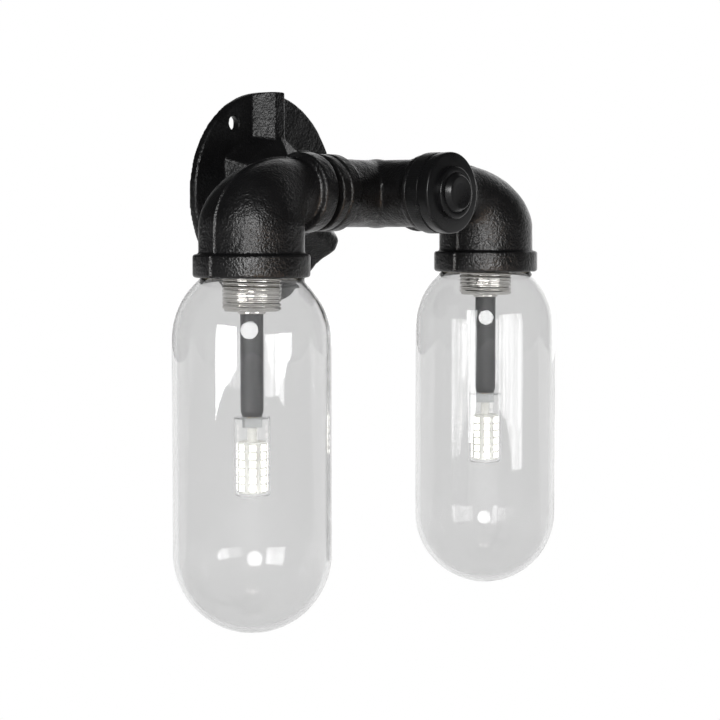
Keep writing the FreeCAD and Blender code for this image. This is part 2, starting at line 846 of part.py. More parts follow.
def fluted_cylinder(name, radius, depth, length):
    """Cylinder whose side is cut into fine flutes."""
    points = []
    for number in range(KNURL_FLUTES * 2):
        angle = math.pi * number / KNURL_FLUTES
        reach = radius.value - depth.value * (number % 2)
        points.append(V(reach * math.cos(angle), reach * math.sin(angle), 0))
    outline = Part.makePolygon(points + points[:1])
    item = DRAWING.addObject("Part::Feature", name)
    item.Shape = Part.Face(outline).extrude(V(0, 0, length.value))
    return item


def switch_ring():
    """Fluted ring screwed into the front outlet, which holds the switch."""
    name = "switch_ring"
    length = D["switch_ring_length"]
    radius = D["switch_ring_radius"]
    floor = radius - D["switch_groove_depth"]
    groove = D["switch_groove_place"]
    fluted = fluted_cylinder(f"{name}_flutes", radius, D["knurl_depth"], length)
    limits = turned(f"{name}_limits", (
        (ZERO, ZERO),
        (radius - D["switch_ring_round"], ZERO),
        (radius, D["switch_ring_round"]),
        (radius, groove),
        (floor, groove),
        (floor, groove + D["switch_groove_width"]),
        (radius, groove + D["switch_groove_width"]),
        (radius, length - D["switch_ring_round"]),
        (radius - D["switch_ring_round"], length),
        (ZERO, length),
    ))
    spigot = place(cylinder(f"{name}_spigot", D["pipe_radius"], D["switch_spigot_length"]),
                   z=-D["switch_spigot_length"])
    bore = place(cylinder(f"{name}_bore", D["barrel_radius"], length * 3), z=-length)
    ring = joined(f"{name}_casting", [overlap_of(f"{name}_head", fluted, limits), spigot])
    return before_bar(hollowed(name, ring, bore), D["cross_front_reach"])


def switch_barrel():
    """Barrel of the push switch with its raised bezel, open in front for the button."""
    floor = SWITCH_FACE - D["barrel_length"]
    guide = D["button_radius"] + D["button_clearance"]
    front = SWITCH_FACE + D["bezel_height"]
    barrel = turned("switch_barrel", (
        (D["button_stem_radius"] + D["button_clearance"], floor),
        (D["barrel_radius"], floor),
        (D["barrel_radius"], SWITCH_FACE),
        (D["bezel_radius"], SWITCH_FACE),
        (D["bezel_radius"], front),
        (guide, front),
        (guide, floor + D["barrel_floor"]),
        (D["button_stem_radius"] + D["button_clearance"], floor + D["barrel_floor"]),
    ), ((D["bezel_radius"], front, D["bezel_round"]),))
    return before_bar(barrel)


def push_button():
    """Round button cap with the stem that works the contacts."""
    face = SWITCH_FACE + D["bezel_height"] + D["button_proud"]
    back = face - D["button_length"]
    stem_end = SWITCH_FACE - D["barrel_length"] + D["button_stem_lead"]
    button = turned("push_button", (
        (ZERO, stem_end),
        (D["button_stem_radius"], stem_end),
        (D["button_stem_radius"], back),
        (D["button_radius"], back),
        (D["button_radius"], face - D["button_proud"]),
        (D["button_radius"] - D["button_taper"], face),
        (ZERO, face),
    ), ((D["button_radius"] - D["button_taper"], face, D["button_edge_round"]),))
    return before_bar(button)


def switch_spring():
    """Coil spring that returns the button, as one wire that climbs in even turns."""
    low = D["barrel_floor"] - D["barrel_length"] + D["spring_wire_radius"] + D["spring_end_gap"]
    back = D["bezel_height"] + D["button_proud"] - D["button_length"]
    high = back - D["spring_wire_radius"] - D["spring_end_gap"]
    height = (high - low).value
    coil = Part.makeHelix(height / SPRING_TURNS, height, D["spring_coil_radius"].value)
    section = Part.Wire(Part.makeCircle(D["spring_wire_radius"].value, V(D["spring_coil_radius"].value, 0, 0),
                                        V(0, 1, 0)))
    spring = DRAWING.addObject("Part::Feature", "switch_spring")
    spring.Shape = Part.Wire(coil.Edges).makePipeShell([section], True, True)
    return before_bar(spring, SWITCH_FACE + low)


def contact_block():
    """Insulating block behind the barrel that holds the contacts, with a guide for the button's stem."""
    front = SWITCH_FACE - D["barrel_length"]
    back = front - D["contact_block_length"]
    guide = D["button_stem_radius"] + D["button_clearance"]
    guide_end = front + D["button_stem_lead"] - D["button_travel"] - D["plunger_clearance"]
    body = turned("contact_block", (
        (ZERO, back),
        (D["contact_block_radius"], back),
        (D["contact_block_radius"], front),
        (guide, front),
        (guide, guide_end),
        (ZERO, guide_end),
    ))
    return before_bar(body)


def switch_terminals():
    """Two flat terminals from the contact block to the wire connector."""
    back = SWITCH_FACE - D["barrel_length"] - D["contact_block_length"]
    terminals = []
    for number, sign in enumerate((-1, 1)):
        tab = block(f"switch_terminal_{number}", D["terminal_width"], D["terminal_thickness"],
                    back - D["connector_radius"])
        across = D["terminal_width"] * sign - D["terminal_width"] / 2
        terminals.append(place(tab, across, -D["terminal_thickness"] / 2, ZERO))
    return before_bar(grouped("switch_terminals", terminals), D["connector_radius"])


def wire_connector():
    """Barrel connector in the middle of the cross, where the lamp leads meet."""
    connector = cylinder("wire_connector", D["connector_radius"], D["connector_length"])
    return place(connector, -D["connector_length"] / 2, -D["bar_offset"], turn=along_bar(1))


def lamp_lead(side_name, side):
    """Sleeved lead along the bar axis, round the elbow's bend and down to the lamp's socket."""
    start = (D["connector_length"] / 2).value
    corner = HALF_SPACING.value
    bend = (D["elbow_reach"] - D["thread_engagement"]).value
    bottom = -(D["lamp_tube_end"] - D["socket_length"]).value
    middle = V(corner - bend + bend * math.sin(math.pi / 4), 0, -bend + bend * math.cos(math.pi / 4))
    first = Part.LineSegment(V(start, 0, 0), V(corner - bend, 0, 0)).toShape()
    arc = Part.Arc(V(corner - bend, 0, 0), middle, V(corner, 0, -bend)).toShape()
    last = Part.LineSegment(V(corner, 0, -bend), V(corner, 0, bottom)).toShape()
    section = Part.Wire(Part.makeCircle(D["lead_radius"].value, V(start, 0, 0), V(1, 0, 0)))
    lead = DRAWING.addObject("Part::Feature", f"lamp_lead_{side_name}")
    shape = Part.Wire([first, arc, last]).makePipeShell([section], True, False)
    lead.Shape = shape if side > 0 else shape.mirror(V(0, 0, 0), V(1, 0, 0))
    return place(lead, y=-D["bar_offset"])


# ---------------------------------------------------------------- whole light

def make_light():
    """Every separate piece of the light, in the order in which it is put together."""
    pieces = [wall_flange(), wall_nipple(), cross_fitting()]
    for side_name, side in SIDES:
        pieces += [bar_lock_ring(side_name, side), bar_nipple(side_name, side)]
    pieces += [switch_ring(), switch_barrel(), push_button(), switch_spring(), contact_block(),
               switch_terminals(), wire_connector()]
    for side_name, side in SIDES:
        for make in (elbow, shade_gasket, lamp_bush, lamp_sleeve, tube_nut, lamp_tube, lamp_socket,
                     lamp_lead, bulb_base, bulb_pins, led_core, led_chips, bulb_cover, glass_shade):
            pieces.append(make(side_name, side))
    return pieces


def check_drawing(pieces):
    """Stop if any step of the drawing failed or any piece isn't sound."""
    for item in DRAWING.Objects:
        if "Invalid" in item.State or "Error" in item.State:
            raise RuntimeError(f"{item.Name} did not rebuild: {item.State}")
    for piece in pieces:
        shape = piece.Shape
        if shape.isNull() or not shape.isValid() or not shape.Solids:
            raise RuntimeError(f"{piece.Label} isn't a sound solid")


def export(pieces):
    """Write each piece under its own name."""
    os.makedirs("parts", exist_ok=True)
    for piece in pieces:
        piece.Shape.exportStep(os.path.join("parts", f"{piece.Label}.step"))
        print(f"{piece.Label:24s} solids {len(piece.Shape.Solids):3d} volume {piece.Shape.Volume:10.1f}")


LIGHT = make_light()
DRAWING.recompute()
check_drawing(LIGHT)
export(LIGHT)
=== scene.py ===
"""Dresses the industrial pipe wall light: black cast fittings, capsule glass shades and lit corn bulbs.

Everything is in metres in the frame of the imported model. Sizes inside the classes are in millimetres.
"""
from __future__ import annotations

import json
import logging
import math
from collections.abc import Callable, Sequence
from dataclasses import dataclass
from enum import Enum

import bmesh
import bpy
from mathutils import Matrix, Vector, noise


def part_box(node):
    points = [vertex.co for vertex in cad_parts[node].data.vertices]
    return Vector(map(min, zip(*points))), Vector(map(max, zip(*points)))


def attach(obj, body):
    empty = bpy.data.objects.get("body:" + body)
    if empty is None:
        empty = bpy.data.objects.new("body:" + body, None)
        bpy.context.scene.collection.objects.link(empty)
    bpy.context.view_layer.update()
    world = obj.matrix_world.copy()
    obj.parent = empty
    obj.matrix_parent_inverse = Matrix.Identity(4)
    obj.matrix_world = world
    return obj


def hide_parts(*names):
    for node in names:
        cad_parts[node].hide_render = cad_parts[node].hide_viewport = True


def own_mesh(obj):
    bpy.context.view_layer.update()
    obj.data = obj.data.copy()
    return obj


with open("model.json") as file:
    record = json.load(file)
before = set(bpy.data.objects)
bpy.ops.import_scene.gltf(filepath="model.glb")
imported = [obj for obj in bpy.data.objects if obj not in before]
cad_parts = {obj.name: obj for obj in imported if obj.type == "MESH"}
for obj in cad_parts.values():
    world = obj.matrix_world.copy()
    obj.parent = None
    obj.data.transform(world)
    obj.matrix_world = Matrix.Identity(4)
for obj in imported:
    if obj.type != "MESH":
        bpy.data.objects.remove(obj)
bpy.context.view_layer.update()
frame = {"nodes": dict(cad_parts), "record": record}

LOG = logging.getLogger("pipe_wall_light")
MM = 0.001
FULL_TURN = 2 * math.pi
SIDES = (("left", -1), ("right", 1))
RUST_PATCH = 7.0
RUST_EDGES = (0.68, 0.76)
RUST_STRENGTH = 0.8
PATCH_EDGES = (0.35, 0.65)


# ---------------------------------------------------------------- colours and nodes

def linear(hex_colour: str) -> tuple[float, float, float, float]:
    """Turn an sRGB hex colour into linear red, green, blue and alpha.

    Args:
        hex_colour: six hex digits after a hash sign.

    Returns:
        The linear colour with an alpha of one.
    """
    parts = [int(hex_colour[start:start + 2], 16) / 255 for start in (1, 3, 5)]
    straight = [part / 12.92 if part <= 0.04045 else ((part + 0.055) / 1.055) ** 2.4 for part in parts]
    return (*straight, 1.0)


def add_node(tree: bpy.types.NodeTree, kind: str, inputs: dict | None = None, **settings) -> bpy.types.Node:
    """Add one node with its settings, and set or link its inputs.

    Args:
        tree: the node tree that gets the node.
        kind: the node's type name.
        inputs: input name or number to a value, or to the output socket that feeds it.
        **settings: the node's own properties.

    Returns:
        The new node.
    """
    made = tree.nodes.new(kind)
    for name, value in settings.items():
        setattr(made, name, value)
    for key, value in (inputs or {}).items():
        if isinstance(value, bpy.types.NodeSocket):
            tree.links.new(value, made.inputs[key])
        else:
            made.inputs[key].default_value = value
    return made


def number(tree: bpy.types.NodeTree, operation: str, *values: object) -> bpy.types.NodeSocket:
    """Socket of one operation on numbers or the sockets that feed them."""
    return add_node(tree, "ShaderNodeMath", dict(enumerate(values)), operation=operation).outputs[0]


def vector(tree: bpy.types.NodeTree, operation: str, *values: object) -> bpy.types.NodeSocket:
    """Socket of one operation on vectors, which is a number for a product or a distance."""
    made = add_node(tree, "ShaderNodeVectorMath", dict(enumerate(values)), operation=operation)
    return made.outputs["Value" if operation in ("DOT_PRODUCT", "DISTANCE") else "Vector"]


def mapped(tree: bpy.types.NodeTree, value: bpy.types.NodeSocket, span: tuple = (0.0, 1.0),
           onto: tuple = (0.0, 1.0)) -> bpy.types.NodeSocket:
    """Socket of a value taken from one span onto another, held at both ends."""
    ends = zip(("From Min", "From Max", "To Min", "To Max"), (*span, *onto))
    return add_node(tree, "ShaderNodeMapRange", {"Value": value, **dict(ends)}).outputs["Result"]


def new_material(name: str) -> tuple[bpy.types.Material, bpy.types.NodeTree]:
    """Make a material whose node tree is empty, and return both."""
    material = bpy.data.materials.new(name)
    material.use_nodes = True
    material.node_tree.nodes.clear()
    return material, material.node_tree


def new_object(name: str, data: bpy.types.ID) -> bpy.types.Object:
    """Make an object of a mesh, camera or lamp and link it to the scene."""
    made = bpy.data.objects.new(name, data)
    bpy.context.scene.collection.objects.link(made)
    return made


def level_way(degrees: float) -> tuple[float, float, float]:
    """Level direction at one heading, counted as the camera's azimuth is."""
    return math.sin(math.radians(degrees)), -math.cos(math.radians(degrees)), 0.0


@dataclass(frozen=True)
class Grain:
    """One layer of surface unevenness: the size of its bumps and their height, in millimetres."""

    size: float
    height: float
    detail: float = 2.0


@dataclass(frozen=True)
class Finish:
    """A surface finish that starts from what the real material is.

    Each layer of grain is a noise in object space, and the roughness and the colour wander between two
    values over patches of the size given by patch_size.
    """

    name: str
    colour: str
    second_colour: str
    roughness: tuple[float, float]
    grains: tuple[Grain, ...] = ()
    patch_size: float = 12.0
    metallic: float = 0.0
    ior: float = 1.5
    transmission: float = 0.0
    emission: str = ""
    emission_strength: float = 0.0
    coat: float = 0.0
    coat_roughness: float = 0.1
    specular: float = 0.5
    rust: str = ""

    def build(self) -> bpy.types.Material:
        """Make the material and return it."""
        material, tree = new_material(self.name)
        place = add_node(tree, "ShaderNodeTexCoord").outputs["Object"]
        patches = add_node(tree, "ShaderNodeTexNoise",
                           {"Vector": place, "Scale": 1 / (self.patch_size * MM), "Detail": 3.0})
        colour = add_node(tree, "ShaderNodeMix", {0: patches.outputs["Fac"], 6: linear(self.colour),
                                                  7: linear(self.second_colour)}, data_type="RGBA")
        tint = colour.outputs[2]
        if self.rust:
            tint = self.add_rust(tree, place, tint)
        rough = mapped(tree, patches.outputs["Fac"], PATCH_EDGES, self.roughness)
        shader = add_node(tree, "ShaderNodeBsdfPrincipled",
                          {"Base Color": tint, "Roughness": rough,
                           "Metallic": self.metallic, "IOR": self.ior,
                           "Transmission Weight": self.transmission, "Coat Weight": self.coat,
                           "Coat Roughness": self.coat_roughness, "Specular IOR Level": self.specular})
        if self.emission:
            shader.inputs["Emission Color"].default_value = linear(self.emission)
            shader.inputs["Emission Strength"].default_value = self.emission_strength
        self.add_grain(tree, place, shader)
        add_node(tree, "ShaderNodeOutputMaterial", {"Surface": shader.outputs["BSDF"]})
        return material

    def add_rust(self, tree: bpy.types.NodeTree, place: bpy.types.NodeSocket,
                 tint: bpy.types.NodeSocket) -> bpy.types.NodeSocket:
        """Mix a few small rust specks into the paint.

        Args:
            tree: the material's node tree.
            place: the coordinates that the noise reads.
            tint: the paint's colour.

        Returns:
            The colour with its specks.
        """
        specks = add_node(tree, "ShaderNodeTexNoise", {"Vector": place, "Scale": 1 / (RUST_PATCH * MM),
                                                       "Detail": 6.0, "Roughness": 0.7})
        share = mapped(tree, specks.outputs["Fac"], RUST_EDGES, (0.0, RUST_STRENGTH))
        mixed = add_node(tree, "ShaderNodeMix", {0: share, 6: tint, 7: linear(self.rust)}, data_type="RGBA")
        return mixed.outputs[2]

    def add_grain(self, tree: bpy.types.NodeTree, place: bpy.types.NodeSocket,
                  shader: bpy.types.Node) -> None:
        """Chain one bump for each layer of grain into the shader's normal.

        Args:
            tree: the material's node tree.
            place: the coordinates that the noises read.
            shader: the surface shader.
        """
        normal = None
        for grain in self.grains:
            speckle = add_node(tree, "ShaderNodeTexNoise",
                               {"Vector": place, "Scale": 1 / (grain.size * MM), "Detail": grain.detail,
                                "Roughness": 0.55})
            bump = add_node(tree, "ShaderNodeBump", {"Height": speckle.outputs["Fac"], "Strength": 1.0,
                                                     "Distance": grain.height * MM})
            if normal is not None:
                tree.links.new(normal, bump.inputs["Normal"])
            normal = bump.outputs["Normal"]
        if normal is not None:
            tree.links.new(normal, shader.inputs["Normal"])


class Slot(Enum):
    """The record's material slots, each with the finish that fills it."""

    # black stoving paint over a sand casting: the sand's grain stays as fine pits that break up the gloss
    CAST = ("cast_black", Finish("black_paint_on_cast_iron", "#0a0a0b", "#0f0f10", (0.30, 0.42),
                                 (Grain(7.0, 0.40), Grain(2.0, 0.34), Grain(1.0, 0.26)), specular=0.5,
                                 rust="#4a2218"))
    # the same paint on drawn pipe, which is smoother than the castings
    PIPE = ("pipe_black", Finish("black_paint_on_steel_pipe", "#0e0e0f", "#151515", (0.32, 0.45),
                                 (Grain(2.0, 0.04),), specular=0.42))
    # black coating on turned metal: even, with a soft sheen along its edges
    TURNED = ("turned_black", Finish("black_coated_turned_steel", "#101011", "#161617", (0.26, 0.36),
                                     (Grain(1.0, 0.015),), patch_size=8.0, specular=0.45))
    # nickel plate on a turned thread: bright, with slight haze
    PLATED = ("plated_sleeve", Finish("nickel_plate", "#cfcdc9", "#bdbbb7", (0.14, 0.26),
                                      (Grain(0.9, 0.01),), patch_size=5.0, metallic=1.0))
    # black heat-shrink sleeve over the lamp tube: soft, nearly matt
    TUBE = ("tube_black", Finish("black_heat_shrink_sleeve", "#3c3c3d", "#4a4a4b", (0.42, 0.55),
                                 (Grain(1.6, 0.03),), patch_size=6.0))
    # glazed steatite: dense and white, slightly warm
    CERAMIC = ("socket_ceramic", Finish("glazed_steatite", "#e9e5da", "#ddd8cb", (0.25, 0.4),
                                        (Grain(1.2, 0.02),)))
    # silicone sleeving on the leads
    LEAD = ("lead_sleeve", Finish("silicone_sleeving", "#202020", "#2b2b2b", (0.45, 0.6), (Grain(1.0, 0.03),)))
    # cream rubber ring, soft and matt
    GASKET = ("gasket_rubber", Finish("cream_rubber", "#d8ceb6", "#c9bea4", (0.6, 0.75), (Grain(1.2, 0.04),)))
    # hard-drawn spring wire
    SPRING = ("spring_steel", Finish("drawn_spring_steel", "#a9a9a8", "#8f8f8e", (0.25, 0.4),
                                     (Grain(0.8, 0.02),), metallic=1.0))
    # phenolic moulding: dark brown-black with a faint flow pattern
    PHENOLIC = ("black_phenolic", Finish("phenolic_moulding", "#17130f", "#211b16", (0.4, 0.55),
                                         (Grain(2.5, 0.03),)))
    # stamped brass
    BRASS = ("terminal_brass", Finish("stamped_brass", "#c9a35a", "#b48d47", (0.25, 0.4),
                                      (Grain(0.8, 0.02),), metallic=1.0))
    # natural nylon, slightly translucent
    NYLON = ("connector_nylon", Finish("natural_nylon", "#dedcd4", "#d0cec4", (0.4, 0.55), (Grain(1.5, 0.02),)))
    # clear polycarbonate foot of the bulb
    BASE = ("bulb_base", Finish("clear_polycarbonate_foot", "#eef0f0", "#e2e5e5", (0.08, 0.16),
                                (Grain(1.5, 0.01),), transmission=0.75, ior=1.58))
    # white solder mask on the chip board; its emission is a painted glow that stands in for the lit chips'
    # light scattered on the board
    BOARD = ("led_board", Finish("white_solder_mask", "#e4e4df", "#d2d2cc", (0.35, 0.5), (Grain(0.8, 0.02),),
                                      emission="#fffdf6", emission_strength=0.25))
    # lit phosphor: brighter than the room, so it clips to white
    CHIP = ("led_chip", Finish("lit_phosphor", "#fbfaf2", "#f4f2e6", (0.4, 0.5), (Grain(0.6, 0.02),),
                               emission="#fffdf6", emission_strength=5.0))
    # clear moulded cover of the bulb, with slight waviness; its faint emission is a painted glow that stands in
    # for the lit chips' light inside it
    COVER = ("bulb_clear", Finish("clear_moulded_cover", "#fbfbfb", "#f6f6f6", (0.0, 0.04),
                                  (Grain(7.0, 0.05),), transmission=1.0, ior=1.18, emission="#ffffff",
                                  emission_strength=0.04))
    # blown soda-lime glass: clear with a slight grey cast and long soft waves
    GLASS = ("shade_glass", Finish("blown_soda_lime_glass", "#e9e9e9", "#e6e6e6", (0.0, 0.01),
                                   (Grain(26.0, 0.10, 1.0),), patch_size=60.0, transmission=0.985, ior=1.45))

    def __init__(self, label: str, finish: Finish) -> None:
        """Keep the slot's name in the record and its finish."""
        self.label = label
        self.finish = finish


class Paintbox:
    """Builds each finish once and puts it on pieces."""

    def __init__(self) -> None:
        """Start with nothing built."""
        self.made: dict[Slot, bpy.types.Material] = {}

    def material(self, slot: Slot) -> bpy.types.Material:
        """Give a slot's material, built the first time it is asked for."""
        if slot not in self.made:
            self.made[slot] = slot.finish.build()
        return self.made[slot]

    def dress(self, piece: bpy.types.Object, slot: Slot) -> None:
        """Put a slot's material on a whole piece."""
        piece.data.materials.clear()
        piece.data.materials.append(self.material(slot))

    def dress_frame(self) -> None:
        """Put each CAD node's own material on it, by the record's list of sub-parts."""
        by_label = {slot.label: slot for slot in Slot}
        for entry in frame["record"]["subparts"]:
            self.dress(frame["nodes"][entry["node"]], by_label[entry["material_slot"]])


PAINT = Paintbox()


# ---------------------------------------------------------------- mesh helpers

@dataclass(frozen=True)
class Corner:
    """One corner of an outline: its radius, its height along the axis and its rounding, in millimetres."""

    radius: float
    height: float
    rounding: float = 0.0


def soften(corners: Sequence[Corner], closed: bool = True, steps: int = 5) -> list[tuple[float, float]]:
    """Round an outline's corners.

    Args:
        corners: the outline's corners in order.
        closed: whether the last corner joins the first.
        steps: how many short edges make one rounding.

    Returns:
        The outline's points as radius and height.
    """
    points: list[tuple[float, float]] = []
    count = len(corners)
    for index, corner in enumerate(corners):
        here = Vector((corner.radius, corner.height))
        at_end = not closed and index in (0, count - 1)
        if corner.rounding <= 0 or at_end:
            points.append((here.x, here.y))
            continue
        before = corners[index - 1]
        after = corners[(index + 1) % count]
        back = Vector((before.radius, before.height)) - here
        ahead = Vector((after.radius, after.height)) - here
        half = back.angle(ahead) / 2
        run = min(corner.rounding / math.tan(half), 0.49 * back.length, 0.49 * ahead.length)
        radius = run * math.tan(half)
        centre = here + (back.normalized() + ahead.normalized()).normalized() * radius / math.sin(half)
        start = here + back.normalized() * run - centre
        end = here + ahead.normalized() * run - centre
        turn = start.angle_signed(end)
        for step in range(steps + 1):
            angle = -turn * step / steps
            x = start.x * math.cos(angle) - start.y * math.sin(angle)
            y = start.x * math.sin(angle) + start.y * math.cos(angle)
            points.append((centre.x + x, centre.y + y))
    return points


def finish_mesh(name: str, shape: bmesh.types.BMesh, place: Matrix, sharp: float = 35.0) -> bpy.types.Object:
    """Turn a built shape into a shaded object whose place is in its mesh.

    Args:
        name: the piece's name.
        shape: the shape in metres, which is freed.
        place: where the shape goes in the frame.
        sharp: edges that turn by more than this many degrees stay crisp.

    Returns:
        The new object, linked to the scene.
    """
    bmesh.ops.remove_doubles(shape, verts=shape.verts, dist=1e-7)
    bmesh.ops.recalc_face_normals(shape, faces=shape.faces)
    mesh = bpy.data.meshes.new(name)
    shape.to_mesh(mesh)
    shape.free()
    mesh.transform(place)
    mesh.shade_smooth()
    mesh.set_sharp_from_angle(angle=math.radians(sharp))
    return new_object(name, mesh)


def lathe(name: str, points: Sequence[tuple[float, float]], place: Matrix, segments: int = 128,
          sharp: float = 35.0) -> bpy.types.Object:
    """Turn a closed outline about Z.

    Args:
        name: the piece's name.
        points: the outline as radius and height in millimetres.
        place: where the turned shape goes.
        segments: steps round the axis.
        sharp: edges that turn by more than this many degrees stay crisp.

    Returns:
        The turned piece.
    """
    shape = bmesh.new()
    rings = []
    for radius, height in points:
        if radius < 1e-6:
            rings.append([shape.verts.new((0, 0, height * MM))])
            continue
        rings.append([shape.verts.new((radius * MM * math.cos(FULL_TURN * step / segments),
                                       radius * MM * math.sin(FULL_TURN * step / segments), height * MM))
                      for step in range(segments)])
    join_rings(shape, rings, closed=True)
    return finish_mesh(name, shape, place, sharp)


def join_rings(shape: bmesh.types.BMesh, rings: Sequence[list], closed: bool) -> None:
    """Put faces between neighbouring rings, where a ring of one vertex is a pole.

    Args:
        shape: the shape that holds the vertices.
        rings: the rings in order.
        closed: whether the last ring joins the first.
    """
    pairs = list(zip(rings, rings[1:]))
    if closed:
        pairs.append((rings[-1], rings[0]))
    for low, high in pairs:
        count = max(len(low), len(high))
        if count == 1:
            continue
        for step in range(count):
            following = (step + 1) % count
            corners = [low[step % len(low)], low[following % len(low)],
                       high[following % len(high)], high[step % len(high)]]
            unique = list(dict.fromkeys(corners))
            if len(unique) > 2:
                shape.faces.new(unique)


def roughen(mesh: bpy.types.Mesh, layers: Sequence[Grain], seed: float) -> None:
    """Move a casting's skin in and out by slow noise, as a sand mould leaves it.

    Args:
        mesh: the mesh to change.
        layers: size and height of each layer of unevenness.
        seed: shifts the noise, so that no two castings match.
    """
    mesh.calc_loop_triangles()
    shift = Vector((seed * 0.37, seed * 0.11, seed * 0.23))
    normals = [normal.vector.copy() for normal in mesh.vertex_normals]
    for vertex, normal in zip(mesh.vertices, normals):
        move = sum(noise.noise(vertex.co / (layer.size * MM) + shift) * layer.height for layer in layers)
        vertex.co += normal * (move * MM)


def baked(piece: bpy.types.Object) -> bpy.types.Object:
    """Apply a piece's modifiers and leave a plain mesh."""
    bpy.context.view_layer.update()
    graph = bpy.context.evaluated_depsgraph_get()
    mesh = bpy.data.meshes.new_from_object(piece.evaluated_get(graph))
    old = piece.data
    piece.modifiers.clear()
    piece.data = mesh
    mesh.name = piece.name
    bpy.data.meshes.remove(old)
    return piece


def recast(name: str, node: str, voxel: float, passes: int, seed: float,
           layers: Sequence[Grain]) -> bpy.types.Object:
    """Give a CAD casting the rounded edges and uneven skin of a sand casting.

    Args:
        name: the piece's name.
        node: the CAD node that it is made from.
        voxel: the grid of the new skin, in millimetres.
        passes: how often the skin is relaxed, which rounds its edges.
        seed: picks the unevenness.
        layers: size and height of each layer of unevenness.

    Returns:
        The new piece.
    """
    shape = bmesh.new()
    shape.from_mesh(frame["nodes"][node].data)
    bmesh.ops.remove_doubles(shape, verts=shape.verts, dist=1e-6)
    mesh = bpy.data.meshes.new(name)
    shape.to_mesh(mesh)
    shape.free()
    piece = new_object(name, mesh)
    skin = piece.modifiers.new("skin", "REMESH")
    skin.mode = "VOXEL"
    skin.voxel_size = voxel * MM
    skin.use_smooth_shade = True
    relax = piece.modifiers.new("relax", "SMOOTH")
    relax.factor = 0.5
    relax.iterations = passes
    baked(piece)
    roughen(piece.data, layers, seed)
    piece.data.shade_smooth()
    return piece


def relax_where(piece: bpy.types.Object, share: Callable[[Vector], float], passes: int) -> None:
    """Relax part of a casting's skin.

    Args:
        piece: the casting.
        share: how much of the relaxing a point takes, up to one.
        passes: how often the skin is relaxed.
    """
    group = piece.vertex_groups.new(name="relaxed")
    for vertex in piece.data.vertices:
        weight = share(vertex.co)
        if weight > 0:
            group.add([vertex.index], weight, "REPLACE")
    relax = piece.modifiers.new("relax", "SMOOTH")
    relax.factor = 0.5
    relax.iterations = passes
    relax.vertex_group = group.name
    baked(piece)
    piece.data.shade_smooth()


def seat(piece: bpy.types.Object, body: str, slot: Slot, *nodes: str) -> bpy.types.Object:
    """Dress a piece, ride it on its body and hide the CAD nodes it stands for.

    Args:
        piece: the finished piece.
        body: the CAD body that carries it.
        slot: the finish it takes.
        *nodes: the CAD nodes that it replaces.

    Returns:
        The same piece.
    """
    PAINT.dress(piece, slot)
    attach(piece, body)
    if nodes:
        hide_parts(*nodes)
    LOG.info("%s rides on %s with %d faces", piece.name, body, len(piece.data.polygons))
    return piece


def centre_of(node: str) -> Vector:
    """Middle of a CAD node's box."""
    low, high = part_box(node)
    return (low + high) / 2


def radius_of(node: str, axis: int = 0) -> float:
    """Half of a CAD node's width along one axis, in millimetres."""
    low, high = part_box(node)
    return (high[axis] - low[axis]) / 2 / MM


BAR = centre_of("wire_connector")
TO_ROOM = Matrix.Rotation(math.radians(90), 4, "X")


def along_bar(side: int) -> Matrix:
    """Turn that points Z outwards along the bar."""
    return Matrix.Rotation(math.radians(90 * side), 4, "Y")


def under_bar(side_name: str, height: float = 0.0) -> Matrix:
    """A place on a lamp's axis, its height in millimetres from the bar axis."""
    axis = centre_of(f"glass_shade_{side_name}")
    return Matrix.Translation((axis.x, axis.y, BAR.z + height * MM))


# ---------------------------------------------------------------- what repeats

class Repeat:
    """A geometry node tree with named inputs, whose result becomes a plain mesh."""

    def __init__(self, name: str) -> None:
        """Start an empty tree with a geometry output."""
        self.name = name
        self.tree = bpy.data.node_groups.new(name, "GeometryNodeTree")
        self.tree.interface.new_socket("Geometry", in_out="OUTPUT", socket_type="NodeSocketGeometry")
        self.values: dict[str, object] = {}
        self.inlet = self.tree.nodes.new("NodeGroupInput")

    def ask(self, name: str, kind: str, value: object) -> bpy.types.NodeSocket:
        """Add a named input and return the socket that feeds from it.

        Args:
            name: the input's name.
            kind: Float, Int, Vector or Material.
            value: what this piece sets it to.

        Returns:
            The socket inside the tree.
        """
        socket = self.tree.interface.new_socket(name, in_out="INPUT", socket_type=f"NodeSocket{kind}")
        self.values[socket.identifier] = value
        return self.inlet.outputs[name]

    def node(self, kind: str, inputs: dict | None = None, **settings) -> bpy.types.Node:
        """Add one node to the tree."""
        return add_node(self.tree, kind, inputs, **settings)

    def piece(self, geometry: bpy.types.NodeSocket, slot: Slot, place: Matrix) -> bpy.types.Object:
        """End the tree and turn its result into a plain piece.

        Args:
            geometry: the geometry to keep.
            slot: the finish that the tree sets.
            place: where the result goes in the frame.

        Returns:
            The finished piece.
        """
        material = self.ask("Material", "Material", PAINT.material(slot))
        real = self.node("GeometryNodeRealizeInstances", {0: geometry})
        smooth = self.node("GeometryNodeSetShadeSmooth", {0: real.outputs[0]})
        painted = self.node("GeometryNodeSetMaterial", {"Geometry": smooth.outputs[0], "Material": material})
        self.node("NodeGroupOutput", {0: painted.outputs[0]})
        piece = new_object(self.name, bpy.data.meshes.new(self.name))
        modifier = piece.modifiers.new("repeat", "NODES")
        modifier.node_group = self.tree
        for identifier, value in self.values.items():
            modifier[identifier] = value
        baked(piece)
        piece.data.transform(place)
        piece.data.set_sharp_from_angle(angle=math.radians(40))
        return piece


